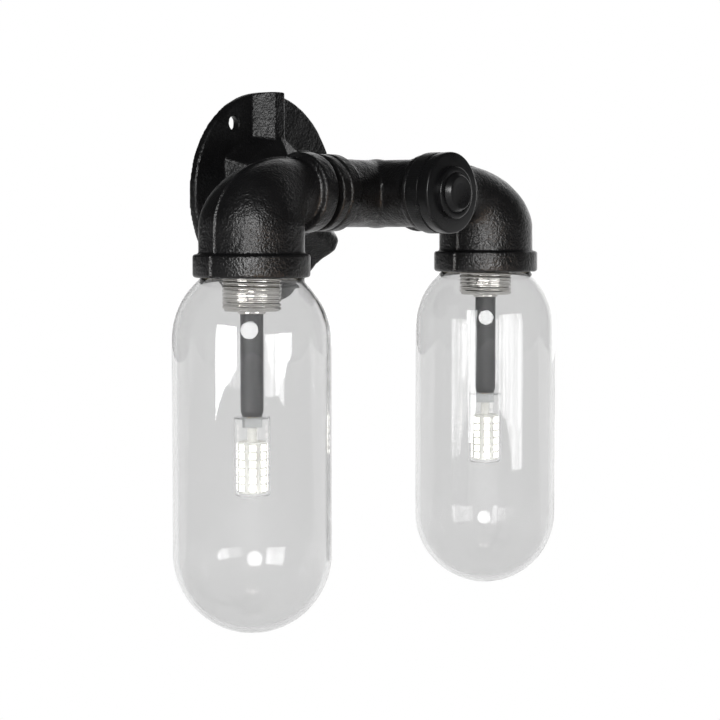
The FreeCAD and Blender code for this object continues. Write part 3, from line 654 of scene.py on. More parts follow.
def thread_ridge(name: str, radius: float, pitch: float, length: float, place: Matrix,
                 slot: Slot) -> bpy.types.Object:
    """One thread as a ridge that winds down a sleeve.

    Args:
        name: the piece's name.
        radius: radius of the ridge's middle, in millimetres.
        pitch: distance from turn to turn.
        length: length of the threaded stretch.
        place: the thread's lower end and axis.
        slot: its finish.

    Returns:
        The ridge as a piece.
    """
    work = Repeat(name)
    reach = work.ask("Radius", "Float", radius * MM)
    tall = work.ask("Length", "Float", length * MM)
    turns = work.ask("Turns", "Float", length / pitch)
    width = work.ask("Ridge Radius", "Float", pitch * 0.42 * MM)
    path = work.node("GeometryNodeCurveSpiral", {"Resolution": 72, "Rotations": turns, "Start Radius": reach,
                                                 "End Radius": reach, "Height": tall})
    section = work.node("GeometryNodeCurvePrimitiveCircle", {"Resolution": 8, "Radius": width})
    ridge = work.node("GeometryNodeCurveToMesh", {"Curve": path.outputs[0],
                                                  "Profile Curve": section.outputs[0], "Fill Caps": True})
    return work.piece(ridge.outputs[0], slot, place)


def flute_ring(name: str, count: int, radius: float, width: float, length: float, place: Matrix,
               slot: Slot) -> bpy.types.Object:
    """A ring of fine upright ridges.

    Args:
        name: the piece's name.
        count: how many ridges.
        radius: radius of the circle that their middles stand on, in millimetres.
        width: width of one ridge.
        length: length of one ridge.
        place: the ring's middle and axis.
        slot: its finish.

    Returns:
        The ridges as one piece.
    """
    work = Repeat(name)
    ridges = work.ask("Ridges", "Int", count)
    reach = work.ask("Radius", "Float", radius * MM)
    wide = work.ask("Width", "Float", width / 2 * MM)
    tall = work.ask("Length", "Float", length * MM)
    stand = work.node("GeometryNodeMeshCircle", {"Vertices": ridges, "Radius": reach})
    ridge = work.node("GeometryNodeMeshCylinder", {"Vertices": 8, "Radius": wide, "Depth": tall})
    ring = work.node("GeometryNodeInstanceOnPoints", {"Points": stand.outputs[0],
                                                      "Instance": ridge.outputs["Mesh"]})
    return work.piece(ring.outputs[0], slot, place)


def chip_columns(name: str, columns: int, rows: int, radius: float, pitch: float,
                 chip: tuple[float, float, float], place: Matrix, slot: Slot) -> bpy.types.Object:
    """Rows and columns of small blocks that face outwards round a core.

    Args:
        name: the piece's name.
        columns: columns round the core.
        rows: blocks in one column.
        radius: distance of a block's middle from the axis, in millimetres.
        pitch: distance from row to row.
        chip: thickness, width and height of one block.
        place: the middle of the core.
        slot: its finish.

    Returns:
        The blocks as one piece.
    """
    work = Repeat(name)
    around = work.ask("Columns", "Int", columns)
    upward = work.ask("Rows", "Int", rows)
    reach = work.ask("Radius", "Float", radius * MM)
    size = work.ask("Chip Size", "Vector", tuple(edge * MM for edge in chip))
    start = work.ask("Lowest Row", "Vector", (0.0, 0.0, -pitch * (rows - 1) / 2 * MM))
    step = work.ask("Row Step", "Vector", (0.0, 0.0, pitch * MM))
    block = work.node("GeometryNodeMeshCube", {"Size": size})
    line = work.node("GeometryNodeMeshLine", {"Count": upward, "Start Location": start, "Offset": step})
    column = work.node("GeometryNodeInstanceOnPoints", {"Points": line.outputs[0],
                                                        "Instance": block.outputs["Mesh"]})
    solid = work.node("GeometryNodeRealizeInstances", {0: column.outputs[0]})
    circle = work.node("GeometryNodeMeshCircle", {"Vertices": around, "Radius": reach})
    outward = work.node("GeometryNodeInputPosition")
    facing = work.node("FunctionNodeAlignRotationToVector", {"Vector": outward.outputs[0]}, axis="X",
                       pivot_axis="Z")
    ring = work.node("GeometryNodeInstanceOnPoints", {"Points": circle.outputs[0],
                                                      "Instance": solid.outputs[0],
                                                      "Rotation": facing.outputs[0]})
    return work.piece(ring.outputs[0], slot, place)


# ---------------------------------------------------------------- wall flange, cross and bar

SAND_SKIN = (Grain(9.0, 0.16), Grain(3.0, 0.07))


@dataclass
class WallFitting:
    """The cast flange and cross with the nipples and lock rings between them."""

    voxel: float = 0.6
    flange_passes: int = 5
    cross_passes: int = 7
    blend_passes: int = 8
    blend_reach: float = 27.0
    lower_ribs: tuple[float, float] = (210.0, 330.0)
    rib_end_radius: float = 44.0
    rib_end_reach: float = 18.0
    rib_passes: int = 80
    fade: float = 4.0
    raised_fade: float = 2.0
    plate_thickness: float = 4.4
    lock_ring_round: float = 1.0

    def build(self) -> None:
        """Make and seat every piece of the wall fitting that shows."""
        voxel = self.voxel * 1
        flange = recast("cast_flange", "wall_flange", voxel, self.flange_passes, 1.0, SAND_SKIN)
        self.round_ribs(flange)
        seat(flange, "wall_body", Slot.CAST, "wall_flange")
        cross = recast("cast_cross", "cross_fitting", voxel, self.cross_passes, 2.0, SAND_SKIN)
        self.blend(cross)
        seat(cross, "wall_body", Slot.CAST, "cross_fitting")
        for side_name, side in SIDES:
            self.lock_ring(side_name, side)

    def round_ribs(self, flange: bpy.types.Object) -> None:
        """Relax the two lower ribs' outer ends, which are rounder than the top one's."""
        def share(point: Vector) -> float:
            aside = [math.hypot(point.x / MM - self.rib_end_radius * math.cos(math.radians(angle)),
                                point.z / MM - self.rib_end_radius * math.sin(math.radians(angle)))
                     for angle in self.lower_ribs]
            raised = -point.y / MM - self.plate_thickness
            near = (self.rib_end_reach - min(aside)) / self.fade
            return min(1.0, max(0.0, near), max(0.0, raised / self.raised_fade))
        relax_where(flange, share, self.rib_passes)

    def blend(self, cross: bpy.types.Object) -> None:
        """Relax the cross where its arms meet, which leaves the casting's wide inside radius there."""
        def share(point: Vector) -> float:
            return min(1.0, max(0.0, (self.blend_reach - (point - BAR).length / MM) / self.fade))
        relax_where(cross, share, self.blend_passes)

    def lock_ring(self, side_name: str, side: int) -> None:
        """Make one lock ring with rounded edges."""
        low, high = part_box(f"bar_lock_ring_{side_name}")
        outer = radius_of(f"bar_lock_ring_{side_name}", 2)
        length = (high.x - low.x) / MM
        inner = radius_of(f"bar_nipple_{side_name}", 2)
        start = low.x if side > 0 else high.x
        outline = soften([Corner(inner, 0), Corner(outer, 0, self.lock_ring_round),
                          Corner(outer, length, self.lock_ring_round), Corner(inner, length)])
        place = Matrix.Translation((start, BAR.y, BAR.z)) @ along_bar(side)
        ring = lathe(f"lock_ring_{side_name}", outline, place)
        roughen(ring.data, (Grain(4.0, 0.05),), 3.0 + side)
        seat(ring, "wall_body", Slot.CAST, f"bar_lock_ring_{side_name}")


# ---------------------------------------------------------------- elbows

@dataclass(frozen=True)
class Ring:
    """One circle of an elbow's skin: where its middle lies, how far it is turned and its radius."""

    across: float
    height: float
    degrees: float
    radius: float


@dataclass
class Elbow:
    """A cast reducing elbow as one closed skin of rings, outside and inside."""

    side_name: str
    side: int
    reach: float = 39.35
    drop: float = 38.6
    small_arm: float = 15.2
    small_band: float = 18.6
    small_band_length: float = 9.0
    large_arm: float = 23.9
    large_band: float = 26.5
    large_band_length: float = 10.4
    outer_reach: float = 45.0
    throat: float = 1.6
    wall: float = 4.2
    socket: float = 13.4
    socket_depth: float = 13.0
    thread: float = 20.2
    thread_depth: float = 22.0
    recess: float = 23.4
    recess_depth: float = 4.2
    ridge_height: float = 0.75
    ridge_half_width: float = 0.9
    edge_round: float = 1.5
    neck_round: float = 2.0
    bend_step: int = 3
    bore_bend_end: int = 84
    bend_gap: float = 0.5
    ring_steps: int = 112
    ridge_step: float = 1.1

    def outline(self, degrees: float) -> float:
        """Distance from the throat's corner to the outer outline at one angle round the bend."""
        height = 2 * self.small_arm + self.throat
        start = 2 * self.large_arm + self.throat - self.outer_reach
        angle = math.radians(degrees)
        if math.tan(angle) * height < start:
            return height / math.cos(angle)
        across = height * math.sin(angle)
        upward = self.outer_reach * math.cos(angle)
        squares = across ** 2 + upward ** 2
        span = squares - (start * math.cos(angle)) ** 2
        return (across * start + math.sqrt(span) * self.outer_reach) * height / squares

    def bend(self, growth: float) -> list[Ring]:
        """Rings round the bend, with the skin moved out by growth."""
        rings = []
        throat = self.throat - growth
        for degrees in range(0, 91, self.bend_step):
            outer = self.outline(degrees) + growth
            middle = (outer + throat) / 2
            angle = math.radians(degrees)
            across = middle * math.sin(angle) - self.large_arm - self.throat
            height = middle * math.cos(angle) - self.small_arm - self.throat
            rings.append(Ring(across, height, degrees, (outer - throat) / 2))
        return rings

    def rings(self) -> list[Ring]:
        """All rings of the skin, from the small mouth over the outside and back through the bore."""
        small = soften([
            Corner(self.socket, 0),
            Corner(self.small_band, 0, self.edge_round),
            Corner(self.small_band, self.small_band_length, self.edge_round),
            Corner(self.small_arm, self.small_band_length, self.neck_round),
            Corner(self.small_arm, self.reach - self.large_arm - self.throat - self.bend_gap),
        ], closed=False)
        outer_bend = self.bend(0.0)
        large = soften([
            Corner(outer_bend[-1].radius, self.small_arm + self.throat + self.bend_gap),
            Corner(self.large_arm, self.drop - self.large_band_length, self.neck_round),
            Corner(self.large_band, self.drop - self.large_band_length, self.edge_round),
            Corner(self.large_band, self.drop, self.edge_round),
            Corner(self.recess, self.drop, 0.5),
            Corner(self.recess, self.drop - self.recess_depth),
            Corner(self.thread, self.drop - self.recess_depth),
            Corner(self.thread, self.drop - self.thread_depth),
        ], closed=False)
        rings = [Ring(-self.reach + run, 0, 0, radius) for radius, run in small]
        rings += outer_bend
        rings += [Ring(0, -run, 90, radius) for radius, run in large]
        rings += [ring for ring in reversed(self.bend(-self.wall)) if ring.degrees <= self.bore_bend_end]
        rings.append(Ring(-self.reach + self.socket_depth, 0, 0, self.socket))
        return rings

    def angles(self) -> list[float]:
        """Angles round a ring, closer together where the parting ridge stands."""
        even = [FULL_TURN * step / self.ring_steps for step in range(self.ring_steps)]
        fine = [turn * math.radians(self.ridge_step) for turn in (-4, -3, -2, -1, 1, 2, 3, 4)]
        extra = [(middle + shift) % FULL_TURN for middle in (0.0, math.pi) for shift in fine]
        return sorted(even + extra)

    def skin(self) -> bmesh.types.BMesh:
        """The elbow's closed skin, with the low ridge that the mould's joint leaves."""
        shape = bmesh.new()
        loops = []
        angles = self.angles()
        for ring in self.rings():
            turn = math.radians(ring.degrees)
            outward = Vector((math.sin(turn) * self.side, 0, math.cos(turn)))
            middle = Vector((ring.across * self.side, 0, ring.height))
            loop = []
            for angle in angles:
                off = min(angle % math.pi, math.pi - angle % math.pi) * ring.radius
                lift = max(0.0, 1 - (off / self.ridge_half_width) ** 2) ** 2 * self.ridge_height
                on_outside = ring.radius > self.thread or ring.degrees < 90
                radius = ring.radius + (lift if on_outside and ring.radius > self.socket + 1 else 0)
                point = middle + (outward * math.cos(angle) + Vector((0, 1, 0)) * math.sin(angle)) * radius
                loop.append(shape.verts.new(point * MM))
            loops.append(loop)
        join_rings(shape, loops, closed=True)
        return shape

    def build(self) -> bpy.types.Object:
        """Make and seat the elbow."""
        piece = finish_mesh(f"cast_elbow_{self.side_name}", self.skin(), under_bar(self.side_name), sharp=50)
        roughen(piece.data, SAND_SKIN, 5.0 + self.side)
        return seat(piece, f"{self.side_name}_arm_body", Slot.CAST, f"elbow_{self.side_name}")


# ---------------------------------------------------------------- glass shades

@dataclass
class GlassShade:
    """A clear capsule shade with a short straight neck at its top."""

    side_name: str
    radius: float = 36.0
    wall: float = 2.3
    top_centre: float = 66.5
    bottom_centre: float = 163.5
    neck: float = 19.85
    neck_top: float = 27.5
    arc_steps: int = 36
    wall_steps: int = 8

    def skin(self, inset: float) -> list[tuple[float, float]]:
        """One face of the glass from the neck down to the foot, moved in by inset."""
        radius = self.radius - inset
        neck = self.neck - inset
        start = math.asin(neck / radius)
        points = [(neck, -self.neck_top)]
        for step in range(self.arc_steps + 1):
            angle = start + (math.pi / 2 - start) * step / self.arc_steps
            points.append((radius * math.sin(angle), radius * math.cos(angle) - self.top_centre))
        for step in range(1, self.wall_steps):
            share = step / self.wall_steps
            points.append((radius, -self.top_centre - (self.bottom_centre - self.top_centre) * share))
        for step in range(self.arc_steps + 1):
            angle = math.pi / 2 * (1 - step / self.arc_steps)
            points.append((radius * math.sin(angle), -radius * math.cos(angle) - self.bottom_centre))
        points[-1] = (0.0, -radius - self.bottom_centre)
        return points

    def build(self) -> bpy.types.Object:
        """Make and seat the shade."""
        outline = self.skin(0.0) + list(reversed(self.skin(self.wall)))
        piece = lathe(f"capsule_shade_{self.side_name}", outline, under_bar(self.side_name), segments=160,
                      sharp=60)
        return seat(piece, f"{self.side_name}_shade_body", Slot.GLASS, f"glass_shade_{self.side_name}")


# ---------------------------------------------------------------- lamps

@dataclass
class Lamp:
    """The plated sleeve, black tube and lit corn bulb that hang inside one shade."""

    side_name: str
    sleeve_radius: float = 13.35
    sleeve_top: float = 16.0
    sleeve_end: float = 53.8
    thread_pitch: float = 1.81
    thread_depth: float = 0.75
    sleeve_wall: float = 1.6
    sleeve_floor: float = 2.0
    plain_stretch: float = 10.0
    deeper_right: float = 3.2
    tube_radius: float = 5.2
    tube_wall: float = 1.3
    tube_top: float = 46.0
    tube_end: float = 101.2
    tube_taper: float = 0.8
    tube_taper_length: float = 2.4
    nut_radius: float = 6.3
    nut_thickness: float = 1.2
    columns: int = 8
    rows: int = 6
    row_pitch: float = 3.65
    core_radius: float = 6.1
    carrier: tuple[float, float, float] = (0.6, 2.9, 2.9)
    chip: tuple[float, float, float] = (0.5, 2.6, 2.6)
    cover_wall: float = 0.7

    def __post_init__(self) -> None:
        """Name the bodies that carry the lamp, and seat the right one's sleeve deeper."""
        if self.side_name == "right":
            self.sleeve_end -= self.deeper_right
            self.sleeve_top -= self.deeper_right
        self.arm = f"{self.side_name}_arm_body"
        self.bulb = f"{self.side_name}_bulb_body"

    def at(self, height: float = 0.0) -> Matrix:
        """A place on this lamp's axis."""
        return under_bar(self.side_name, height)

    def build(self) -> None:
        """Make and seat the lamp's visible pieces."""
        self.sleeve()
        self.tube()
        self.chips()
        self.cover()

    def sleeve(self) -> None:
        """Make the sleeve with its thread, and the thin nut under it."""
        core = self.sleeve_radius - self.thread_depth
        floor = -self.sleeve_end + self.sleeve_floor
        outline = soften([
            Corner(self.tube_radius, -self.sleeve_end),
            Corner(core, -self.sleeve_end, 0.7),
            Corner(core, -self.sleeve_top),
            Corner(self.sleeve_radius - self.sleeve_wall, -self.sleeve_top),
            Corner(self.sleeve_radius - self.sleeve_wall, floor),
            Corner(self.tube_radius, floor),
        ])
        sleeve = lathe(f"plated_sleeve_{self.side_name}", outline, self.at())
        seat(sleeve, self.arm, Slot.PLATED, f"lamp_sleeve_{self.side_name}")
        length = self.sleeve_end - self.sleeve_top - self.plain_stretch
        ridge = self.thread_depth * 0.5
        thread = thread_ridge(f"sleeve_thread_{self.side_name}", core + ridge * 0.2, self.thread_pitch, length,
                              self.at(-self.sleeve_end + 0.9), Slot.PLATED)
        seat(thread, self.arm, Slot.PLATED)
        nut = soften([
            Corner(self.tube_radius, -self.sleeve_end - self.nut_thickness),
            Corner(self.nut_radius, -self.sleeve_end - self.nut_thickness, 0.3),
            Corner(self.nut_radius, -self.sleeve_end, 0.2),
            Corner(self.tube_radius, -self.sleeve_end),
        ])
        seat(lathe(f"thin_nut_{self.side_name}", nut, self.at(), 64), self.arm, Slot.PLATED,
             f"tube_nut_{self.side_name}")

    def tube(self) -> None:
        """Make the black tube with its shrunk-in lower end."""
        inner = self.tube_radius - self.tube_wall
        outline = soften([
            Corner(inner, -self.tube_end),
            Corner(self.tube_radius - self.tube_taper, -self.tube_end, 0.4),
            Corner(self.tube_radius, self.tube_taper_length - self.tube_end, 1.5),
            Corner(self.tube_radius, -self.tube_top),
            Corner(inner, -self.tube_top),
        ])
        tube = lathe(f"black_tube_{self.side_name}", outline, self.at(), 72)
        seat(tube, self.arm, Slot.TUBE, f"lamp_tube_{self.side_name}")

    def chips(self) -> None:
        """Make the white carriers and the rows of lit chips on them."""
        middle = self.at() @ Matrix.Translation((0, 0, centre_of(f"led_chips_{self.side_name}").z - BAR.z))
        for name, out, size, slot, nodes in (
                ("chip_carriers", 0.3, self.carrier, Slot.BOARD, ()),
                ("lit_chips", 0.55, self.chip, Slot.CHIP, (f"led_chips_{self.side_name}",))):
            blocks = chip_columns(f"{name}_{self.side_name}", self.columns, self.rows, self.core_radius + out,
                                  self.row_pitch, size, middle, slot)
            seat(blocks, self.bulb, slot, *nodes)

    def cover(self) -> None:
        """Make the bulb's clear cover with its rounded foot."""
        low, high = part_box(f"bulb_cover_{self.side_name}")
        radius = radius_of(f"bulb_cover_{self.side_name}")
        bottom = (low.z - BAR.z) / MM
        top = (high.z - BAR.z) / MM
        wall = self.cover_wall
        outline = soften([
            Corner(0, bottom),
            Corner(radius, bottom, 1.6),
            Corner(radius, top, 0.3),
            Corner(radius - wall, top),
            Corner(radius - wall, bottom + wall, 1.0),
            Corner(0, bottom + wall),
        ])
        cover = lathe(f"clear_cover_{self.side_name}", outline, self.at(), 96)
        seat(cover, self.bulb, Slot.COVER, f"bulb_cover_{self.side_name}")


# ---------------------------------------------------------------- push switch

@dataclass
class PushSwitch:
    """The fluted ring, raised bezel and tapered push button on the front outlet."""

    flutes: int = 120
    ring_radius: float = 19.07
    ring_length: float = 13.9
    flute_width: float = 0.5
    groove_place: float = 7.2
    groove_width: float = 1.2
    groove_depth: float = 0.3
    barrel_radius: float = 11.0
    barrel_bore: float = 2.3
    barrel_floor: float = 2.85
    bezel_height: float = 2.6
    button_taper: float = 1.6
    button_head: float = 9.0
    stem_radius: float = 2.2
    button_proud: float = 2.6
    button_travel: float = 3.0

    def __post_init__(self) -> None:
        """Read the widths of the switch's pieces and where they start and end from the frame."""
        self.front = self.ends("switch_ring")[0]
        self.barrel_back = self.ends("switch_barrel")[1]
        self.button_face, self.button_back = self.ends("push_button")
        self.bezel_radius = radius_of("switch_barrel")
        self.button_radius = radius_of("push_button")

    def ends(self, node: str) -> tuple[float, float]:
        """A CAD node's front and back on the switch's axis, in millimetres from the bar axis."""
        low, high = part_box(node)
        return -(low.y - BAR.y) / MM, -(high.y - BAR.y) / MM

    def place(self) -> Matrix:
        """The switch's axis, with Z towards the room and its zero on the bar axis."""
        return Matrix.Translation(BAR) @ TO_ROOM

    def build(self) -> None:
        """Make and seat the switch's visible pieces."""
        self.ring()
        self.bezel()
        self.button()
        self.spring()

    def ring(self) -> None:
        """Make the ring's smooth core and its two stretches of fine flutes."""
        back = self.front - self.ring_length
        core = self.ring_radius - self.flute_width * 0.25
        groove = back + self.groove_place
        floor = self.ring_radius - self.groove_depth - self.flute_width * 0.3
        outline = soften([
            Corner(self.barrel_radius, back),
            Corner(core, back, 0.8),
            Corner(core, groove, 0.2),
            Corner(floor, groove),
            Corner(floor, groove + self.groove_width),
            Corner(core, groove + self.groove_width, 0.2),
            Corner(self.ring_radius, self.front - 1.8, 0.6),
            Corner(self.ring_radius - 0.1, self.front, 0.9),
            Corner(self.barrel_radius, self.front),
        ])
        ring = lathe("fluted_ring_core", outline, self.place(), 160)
        seat(ring, "wall_body", Slot.TURNED, "switch_ring")
        for name, start, end in (("rear", back + 0.8, groove - 0.1),
                                 ("front", groove + self.groove_width + 0.1, self.front - 2.2)):
            middle = self.place() @ Matrix.Translation((0, 0, (start + end) / 2 * MM))
            flutes = flute_ring(f"ring_flutes_{name}", self.flutes, core - 0.2, self.flute_width,
                                end - start, middle, Slot.TURNED)
            seat(flutes, "wall_body", Slot.TURNED)

    def bezel(self) -> None:
        """Make the barrel with its raised, rounded bezel."""
        guide = self.button_radius + 0.08
        top = self.front + self.bezel_height
        outline = soften([
            Corner(self.barrel_bore, self.barrel_back),
            Corner(self.barrel_radius, self.barrel_back),
            Corner(self.barrel_radius, self.front),
            Corner(self.bezel_radius, self.front),
            Corner(self.bezel_radius, top, 0.9),
            Corner(guide, top, 0.4),
            Corner(guide, self.barrel_back + self.barrel_floor),
            Corner(self.barrel_bore, self.barrel_back + self.barrel_floor),
        ])
        bezel = lathe("raised_bezel", outline, self.place(), 128)
        seat(bezel, "wall_body", Slot.TURNED, "switch_barrel")

    def button(self) -> None:
        """Make the button with its tapered edge and slightly dished face."""
        face = self.button_face
        radius = self.button_radius
        land = radius - self.button_taper
        outline = soften([
            Corner(0, self.button_back),
            Corner(self.stem_radius, self.button_back),
            Corner(self.stem_radius, face - self.button_head),
            Corner(radius, face - self.button_head),
            Corner(radius, face - self.button_proud, 0.5),
            Corner(land, face, 0.6),
            Corner(land * 0.6, face - 0.25, 6.0),
            Corner(0, face - 0.35),
        ])
        button = lathe("round_button", outline, self.place(), 128, sharp=50)
        seat(button, "button_body", Slot.TURNED, "push_button")

    def spring(self) -> None:
        """Make the return spring from a copy of the frame's spring mesh; the real spring shortens towards the
        barrel's floor as the button goes in.
        """
        spring = new_object("return_spring", frame["nodes"]["switch_spring"].data.copy())
        seat(spring, "wall_body", Slot.SPRING, "switch_spring")
        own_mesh(spring)


# ---------------------------------------------------------------- camera, light and floor

@dataclass(frozen=True)
class Card:
    """A lit card out of the picture that one glass shade mirrors: its brightness and its outline.

    Each level is a height in metres with the headings of the card's two edges, in degrees round the
    shade's axis as the camera's azimuth is.
    """

    name: str
    side_name: str
    brightness: float
    levels: tuple[tuple[float, float, float], ...]
    distance: float = 1.5


@dataclass(frozen=True)
class Softbox:
    """A soft round lamp: its place and diameter in metres, its watts, its colour and the pieces it lights.

    Without a list of pieces it lights everything.
    """

    name: str
    place: tuple[float, float, float]
    width: float
    power: float
    colour: str = "#ffffff"
    lights: tuple[str, ...] = ()


@dataclass
class Studio:
    """A pale room, soft lamps and the photograph's view."""

    camera_place: tuple[float, float, float] = (-752.78, -701.69, -16.67)
    azimuth: float = -49.79
    elevation: float = 3.71
    lens: float = 101.375
    floor_height: float = -0.46
    shade_top: float = -0.04
    own_wall: tuple[float, float] = (0.030, 0.010)
    aim_height: float = -0.08
    folds_per_metre: float = 16.0
    fold_stretch: tuple[float, float, float] = (1.0, 1.0, 0.04)
    fold_edges: tuple[float, float] = (0.3, 0.7)
    fold_swing: tuple[float, float] = (0.25, 1.75)
    backdrop: str = "#ffffff"
    floor_colour: str = "#f2f2f2"
    room_mirrored: float = 0.035
    room_level: float = 0.12
    backdrop_heading: float = 113.0
    backdrop_spread: tuple[float, float] = (0.76, 0.95)
    backdrop_mirrored: float = 2.0
    lit_floor: tuple[float, float] = (0.10, 0.45)
    lamps: tuple[Softbox, ...] = (
        Softbox("key_octagon", (-2.26, -1.88, 0.74), 1.30, 54.0),
        Softbox("warm_bounce", (-0.25, -0.55, -0.44), 0.5, 1.6, "#ffc890",
                ("cast_cross", "cast_elbow_left", "cast_elbow_right", "lock_ring_left")),
        Softbox("low_fill", (-1.75, -1.55, -0.25), 1.1, 31.0, lights=("cast_elbow_left", "cast_elbow_right")),
    )
    cards: tuple[Card, ...] = (
        Card("left_window", "left", 12.0, (
            (0.50, -99.3, -68.9), (-0.175, -99.3, -68.9), (-0.184, -99.3, -74.9), (-0.203, -99.3, -83.9),
            (-0.226, -99.3, -94.6), (-0.238, -99.3, -99.0))),
        Card("left_wall", "left", 4.0, ((0.20, -28.7, -6.7), (-0.205, -28.7, -6.7))),
        Card("left_far_window", "left", 12.0, (
            (0.20, -6.5, 12.5), (-0.155, -6.5, 11.0), (-0.1715, -6.0, 4.4), (-0.195, -4.8, 0.0))),
        Card("right_window", "right", 7.0, (
            (0.67, -87.6, -67.3), (-0.23, -87.6, -67.3), (-0.277, -87.6, -75.0))),
        Card("right_curtain", "right", 3.0, ((0.19, -108.9, -87.8), (-0.272, -108.9, -87.8))),
        Card("right_far_window", "right", 5.0, (
            (0.42, -30.9, 9.9), (-0.2275, -30.9, 9.9), (-0.265, -15.0, 9.9), (-0.304, -6.7, 9.9))),
    )

    def build(self) -> None:
        """Make the camera, world, floor, lamps and cards."""
        scene = bpy.context.scene
        scene.view_settings.view_transform = "Standard"
        self.camera()
        self.world()
        self.floor()
        for box in self.lamps:
            self.softbox(box)
        for card in self.cards:
            self.card(card)

    def camera(self) -> None:
        """Set the camera where the photograph was taken from."""
        data = bpy.data.cameras.new("camera")
        data.sensor_width = 36.0
        data.lens = self.lens
        data.clip_start = 0.01
        data.clip_end = 30.0
        camera = new_object("camera", data)
        around = math.radians(self.azimuth)
        up = math.radians(self.elevation)
        back = Vector((math.sin(around) * math.cos(up), -math.cos(around) * math.cos(up), math.sin(up)))
        camera.location = Vector(self.camera_place) * MM
        camera.rotation_mode = "QUATERNION"
        camera.rotation_quaternion = (-back).to_track_quat("-Z", "Y")
        bpy.context.scene.camera = camera

    def world(self) -> None:
        """White behind the light and where it is looked through, and a dim room on the camera's side."""
        world = bpy.data.worlds.new("white_backdrop")
        world.use_nodes = True
        tree = world.node_tree
        tree.nodes.clear()
        path, seen = self.looked_at(tree)
        room = mapped(tree, path.outputs["Is Glossy Ray"], onto=(self.room_level, self.room_mirrored))
        way = add_node(tree, "ShaderNodeTexCoord").outputs["Generated"]
        toward = vector(tree, "DOT_PRODUCT", way, level_way(self.backdrop_heading))
        behind = mapped(tree, toward, self.backdrop_spread, (room, self.backdrop_mirrored))
        strength = mapped(tree, seen, onto=(behind, 1.0))
        background = add_node(tree, "ShaderNodeBackground", {"Color": linear(self.backdrop),
                                                             "Strength": strength})
        add_node(tree, "ShaderNodeOutputWorld", {"Surface": background.outputs[0]})
        bpy.context.scene.world = world

    def looked_at(self, tree: bpy.types.NodeTree) -> tuple[bpy.types.Node, bpy.types.NodeSocket]:
        """Tell rays that look straight at a surface, or at it through glass, from all others.

        Args:
            tree: the node tree that asks.

        Returns:
            The light path node, and a socket that is one for such rays and otherwise nought.
        """
        path = add_node(tree, "ShaderNodeLightPath")
        return path, number(tree, "MAXIMUM", path.outputs["Is Camera Ray"], path.outputs["Is Transmission Ray"])

    def floor(self) -> None:
        """A plain pale floor that is lit behind the light and looks as white as the backdrop."""
        shape = bmesh.new()
        bmesh.ops.create_grid(shape, x_segments=8, y_segments=8, size=6.0)
        floor = finish_mesh("floor", shape, Matrix.Translation((0, 0, self.floor_height)))
        material, tree = new_material("pale_floor")
        seen = self.looked_at(tree)[1]
        matt = add_node(tree, "ShaderNodeBsdfPrincipled", {"Base Color": linear(self.floor_colour),
                                                           "Roughness": 0.8})
        spot = add_node(tree, "ShaderNodeNewGeometry").outputs["Position"]
        away = vector(tree, "DOT_PRODUCT", spot, level_way(180 + self.azimuth))
        self.glow_where(tree, number(tree, "MAXIMUM", seen, mapped(tree, away, self.lit_floor)), matt, 1.0)
        floor.data.materials.append(material)

    def glow_where(self, tree: bpy.types.NodeTree, share: bpy.types.NodeSocket, other: bpy.types.Node,
                   strength: float | bpy.types.NodeSocket) -> None:
        """End a material that glows white by share and shows another shader for the rest.

        Args:
            tree: the material's node tree.
            share: the glow's share.
            other: the other shader.
            strength: the glow's strength.
        """
        glow = add_node(tree, "ShaderNodeEmission", {"Color": linear(self.backdrop), "Strength": strength})
        mixed = add_node(tree, "ShaderNodeMixShader", {0: share, 1: other.outputs[0], 2: glow.outputs[0]})
        add_node(tree, "ShaderNodeOutputMaterial", {"Surface": mixed.outputs[0]})

    def softbox(self, box: Softbox) -> None:
        """Hang one soft lamp that faces the light."""
        data = bpy.data.lights.new(box.name, "AREA")
        data.energy = box.power
        data.color = linear(box.colour)[:3]
        data.shape = "DISK"
        data.size = box.width
        lamp = new_object(box.name, data)
        lamp.location = box.place
        target = Vector((0.0, BAR.y, self.aim_height))
        lamp.rotation_mode = "QUATERNION"
        lamp.rotation_quaternion = (target - lamp.location).to_track_quat("-Z", "Y")
        if box.lights:
            lit = bpy.data.collections.new(f"lit_by_{box.name}")
            for name in box.lights:
                lit.objects.link(bpy.data.objects[name])
            lamp.light_linking.receiver_collection = lit

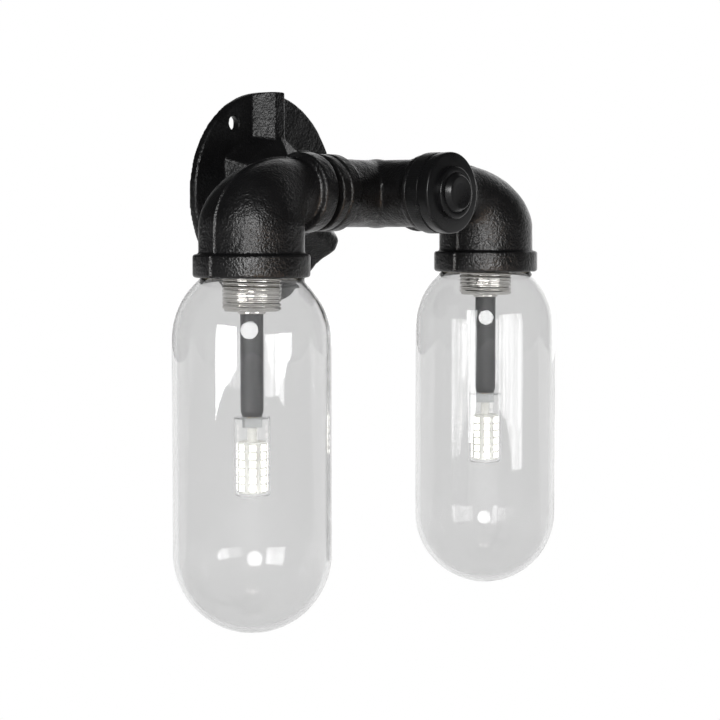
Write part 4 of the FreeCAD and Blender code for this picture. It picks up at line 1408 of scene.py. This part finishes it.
    def card(self, card: Card) -> None:
        """Stand one lit card round the light, where only its own glass shade mirrors it."""
        axis = centre_of(f"glass_shade_{card.side_name}")
        shape = bmesh.new()
        edges = []
        for height, *headings in card.levels:
            ways = [Vector(level_way(heading)) * card.distance for heading in headings]
            edges.append([shape.verts.new((axis.x + way.x, axis.y + way.y, height)) for way in ways])
        for high, low in zip(edges, edges[1:]):
            shape.faces.new((high[0], high[1], low[1], low[0]))
        piece = finish_mesh(card.name, shape, Matrix.Identity(4))
        material, tree = new_material(card.name)
        place = add_node(tree, "ShaderNodeTexCoord").outputs["Object"]
        upright = vector(tree, "MULTIPLY", place, self.fold_stretch)
        folds = add_node(tree, "ShaderNodeTexNoise",
                         {"Vector": upright, "Scale": self.folds_per_metre, "Detail": 3.0})
        swing = tuple(card.brightness * share for share in self.fold_swing)
        strength = mapped(tree, folds.outputs["Fac"], self.fold_edges, swing)
        clear = add_node(tree, "ShaderNodeBsdfTransparent")
        self.glow_where(tree, self.ray_left_shade(tree, card.side_name), clear, strength)
        material.cycles.emission_sampling = "NONE"
        piece.data.materials.append(material)
        piece.visible_camera = False
        piece.visible_diffuse = False
        piece.visible_shadow = False

    def ray_left_shade(self, tree: bpy.types.NodeTree, side_name: str) -> bpy.types.NodeSocket:
        """Tell rays that one glass shade mirrored from all others, by how far off its axis they started.

        Args:
            tree: the card's node tree.
            side_name: the shade's side.

        Returns:
            One for the shade's own rays, otherwise nought.
        """
        hit = add_node(tree, "ShaderNodeNewGeometry")
        path = add_node(tree, "ShaderNodeLightPath")
        back = add_node(tree, "ShaderNodeVectorMath", {0: hit.outputs["Incoming"],
                                                       "Scale": path.outputs["Ray Length"]}, operation="SCALE")
        start = vector(tree, "ADD", hit.outputs["Position"], back.outputs[0])
        place = add_node(tree, "ShaderNodeSeparateXYZ", {0: start})
        axis = centre_of(f"glass_shade_{side_name}")
        level = vector(tree, "MULTIPLY", start, (1.0, 1.0, 0.0))
        off = vector(tree, "DISTANCE", level, (axis.x, axis.y, 0.0))
        below = number(tree, "LESS_THAN", place.outputs["Z"], self.shade_top)
        return number(tree, "MULTIPLY", number(tree, "COMPARE", off, *self.own_wall), below)


# ---------------------------------------------------------------- the whole scene


def main() -> None:
    """Dress every part of the light in order."""
    logging.basicConfig(level=logging.INFO, format="%(name)s: %(message)s")
    PAINT.dress_frame()
    WallFitting().build()
    PushSwitch().build()
    for side_name, side in SIDES:
        Elbow(side_name, side).build()
        GlassShade(side_name).build()
        Lamp(side_name).build()
    Studio().build()


if __name__ == "__main__":
    main()
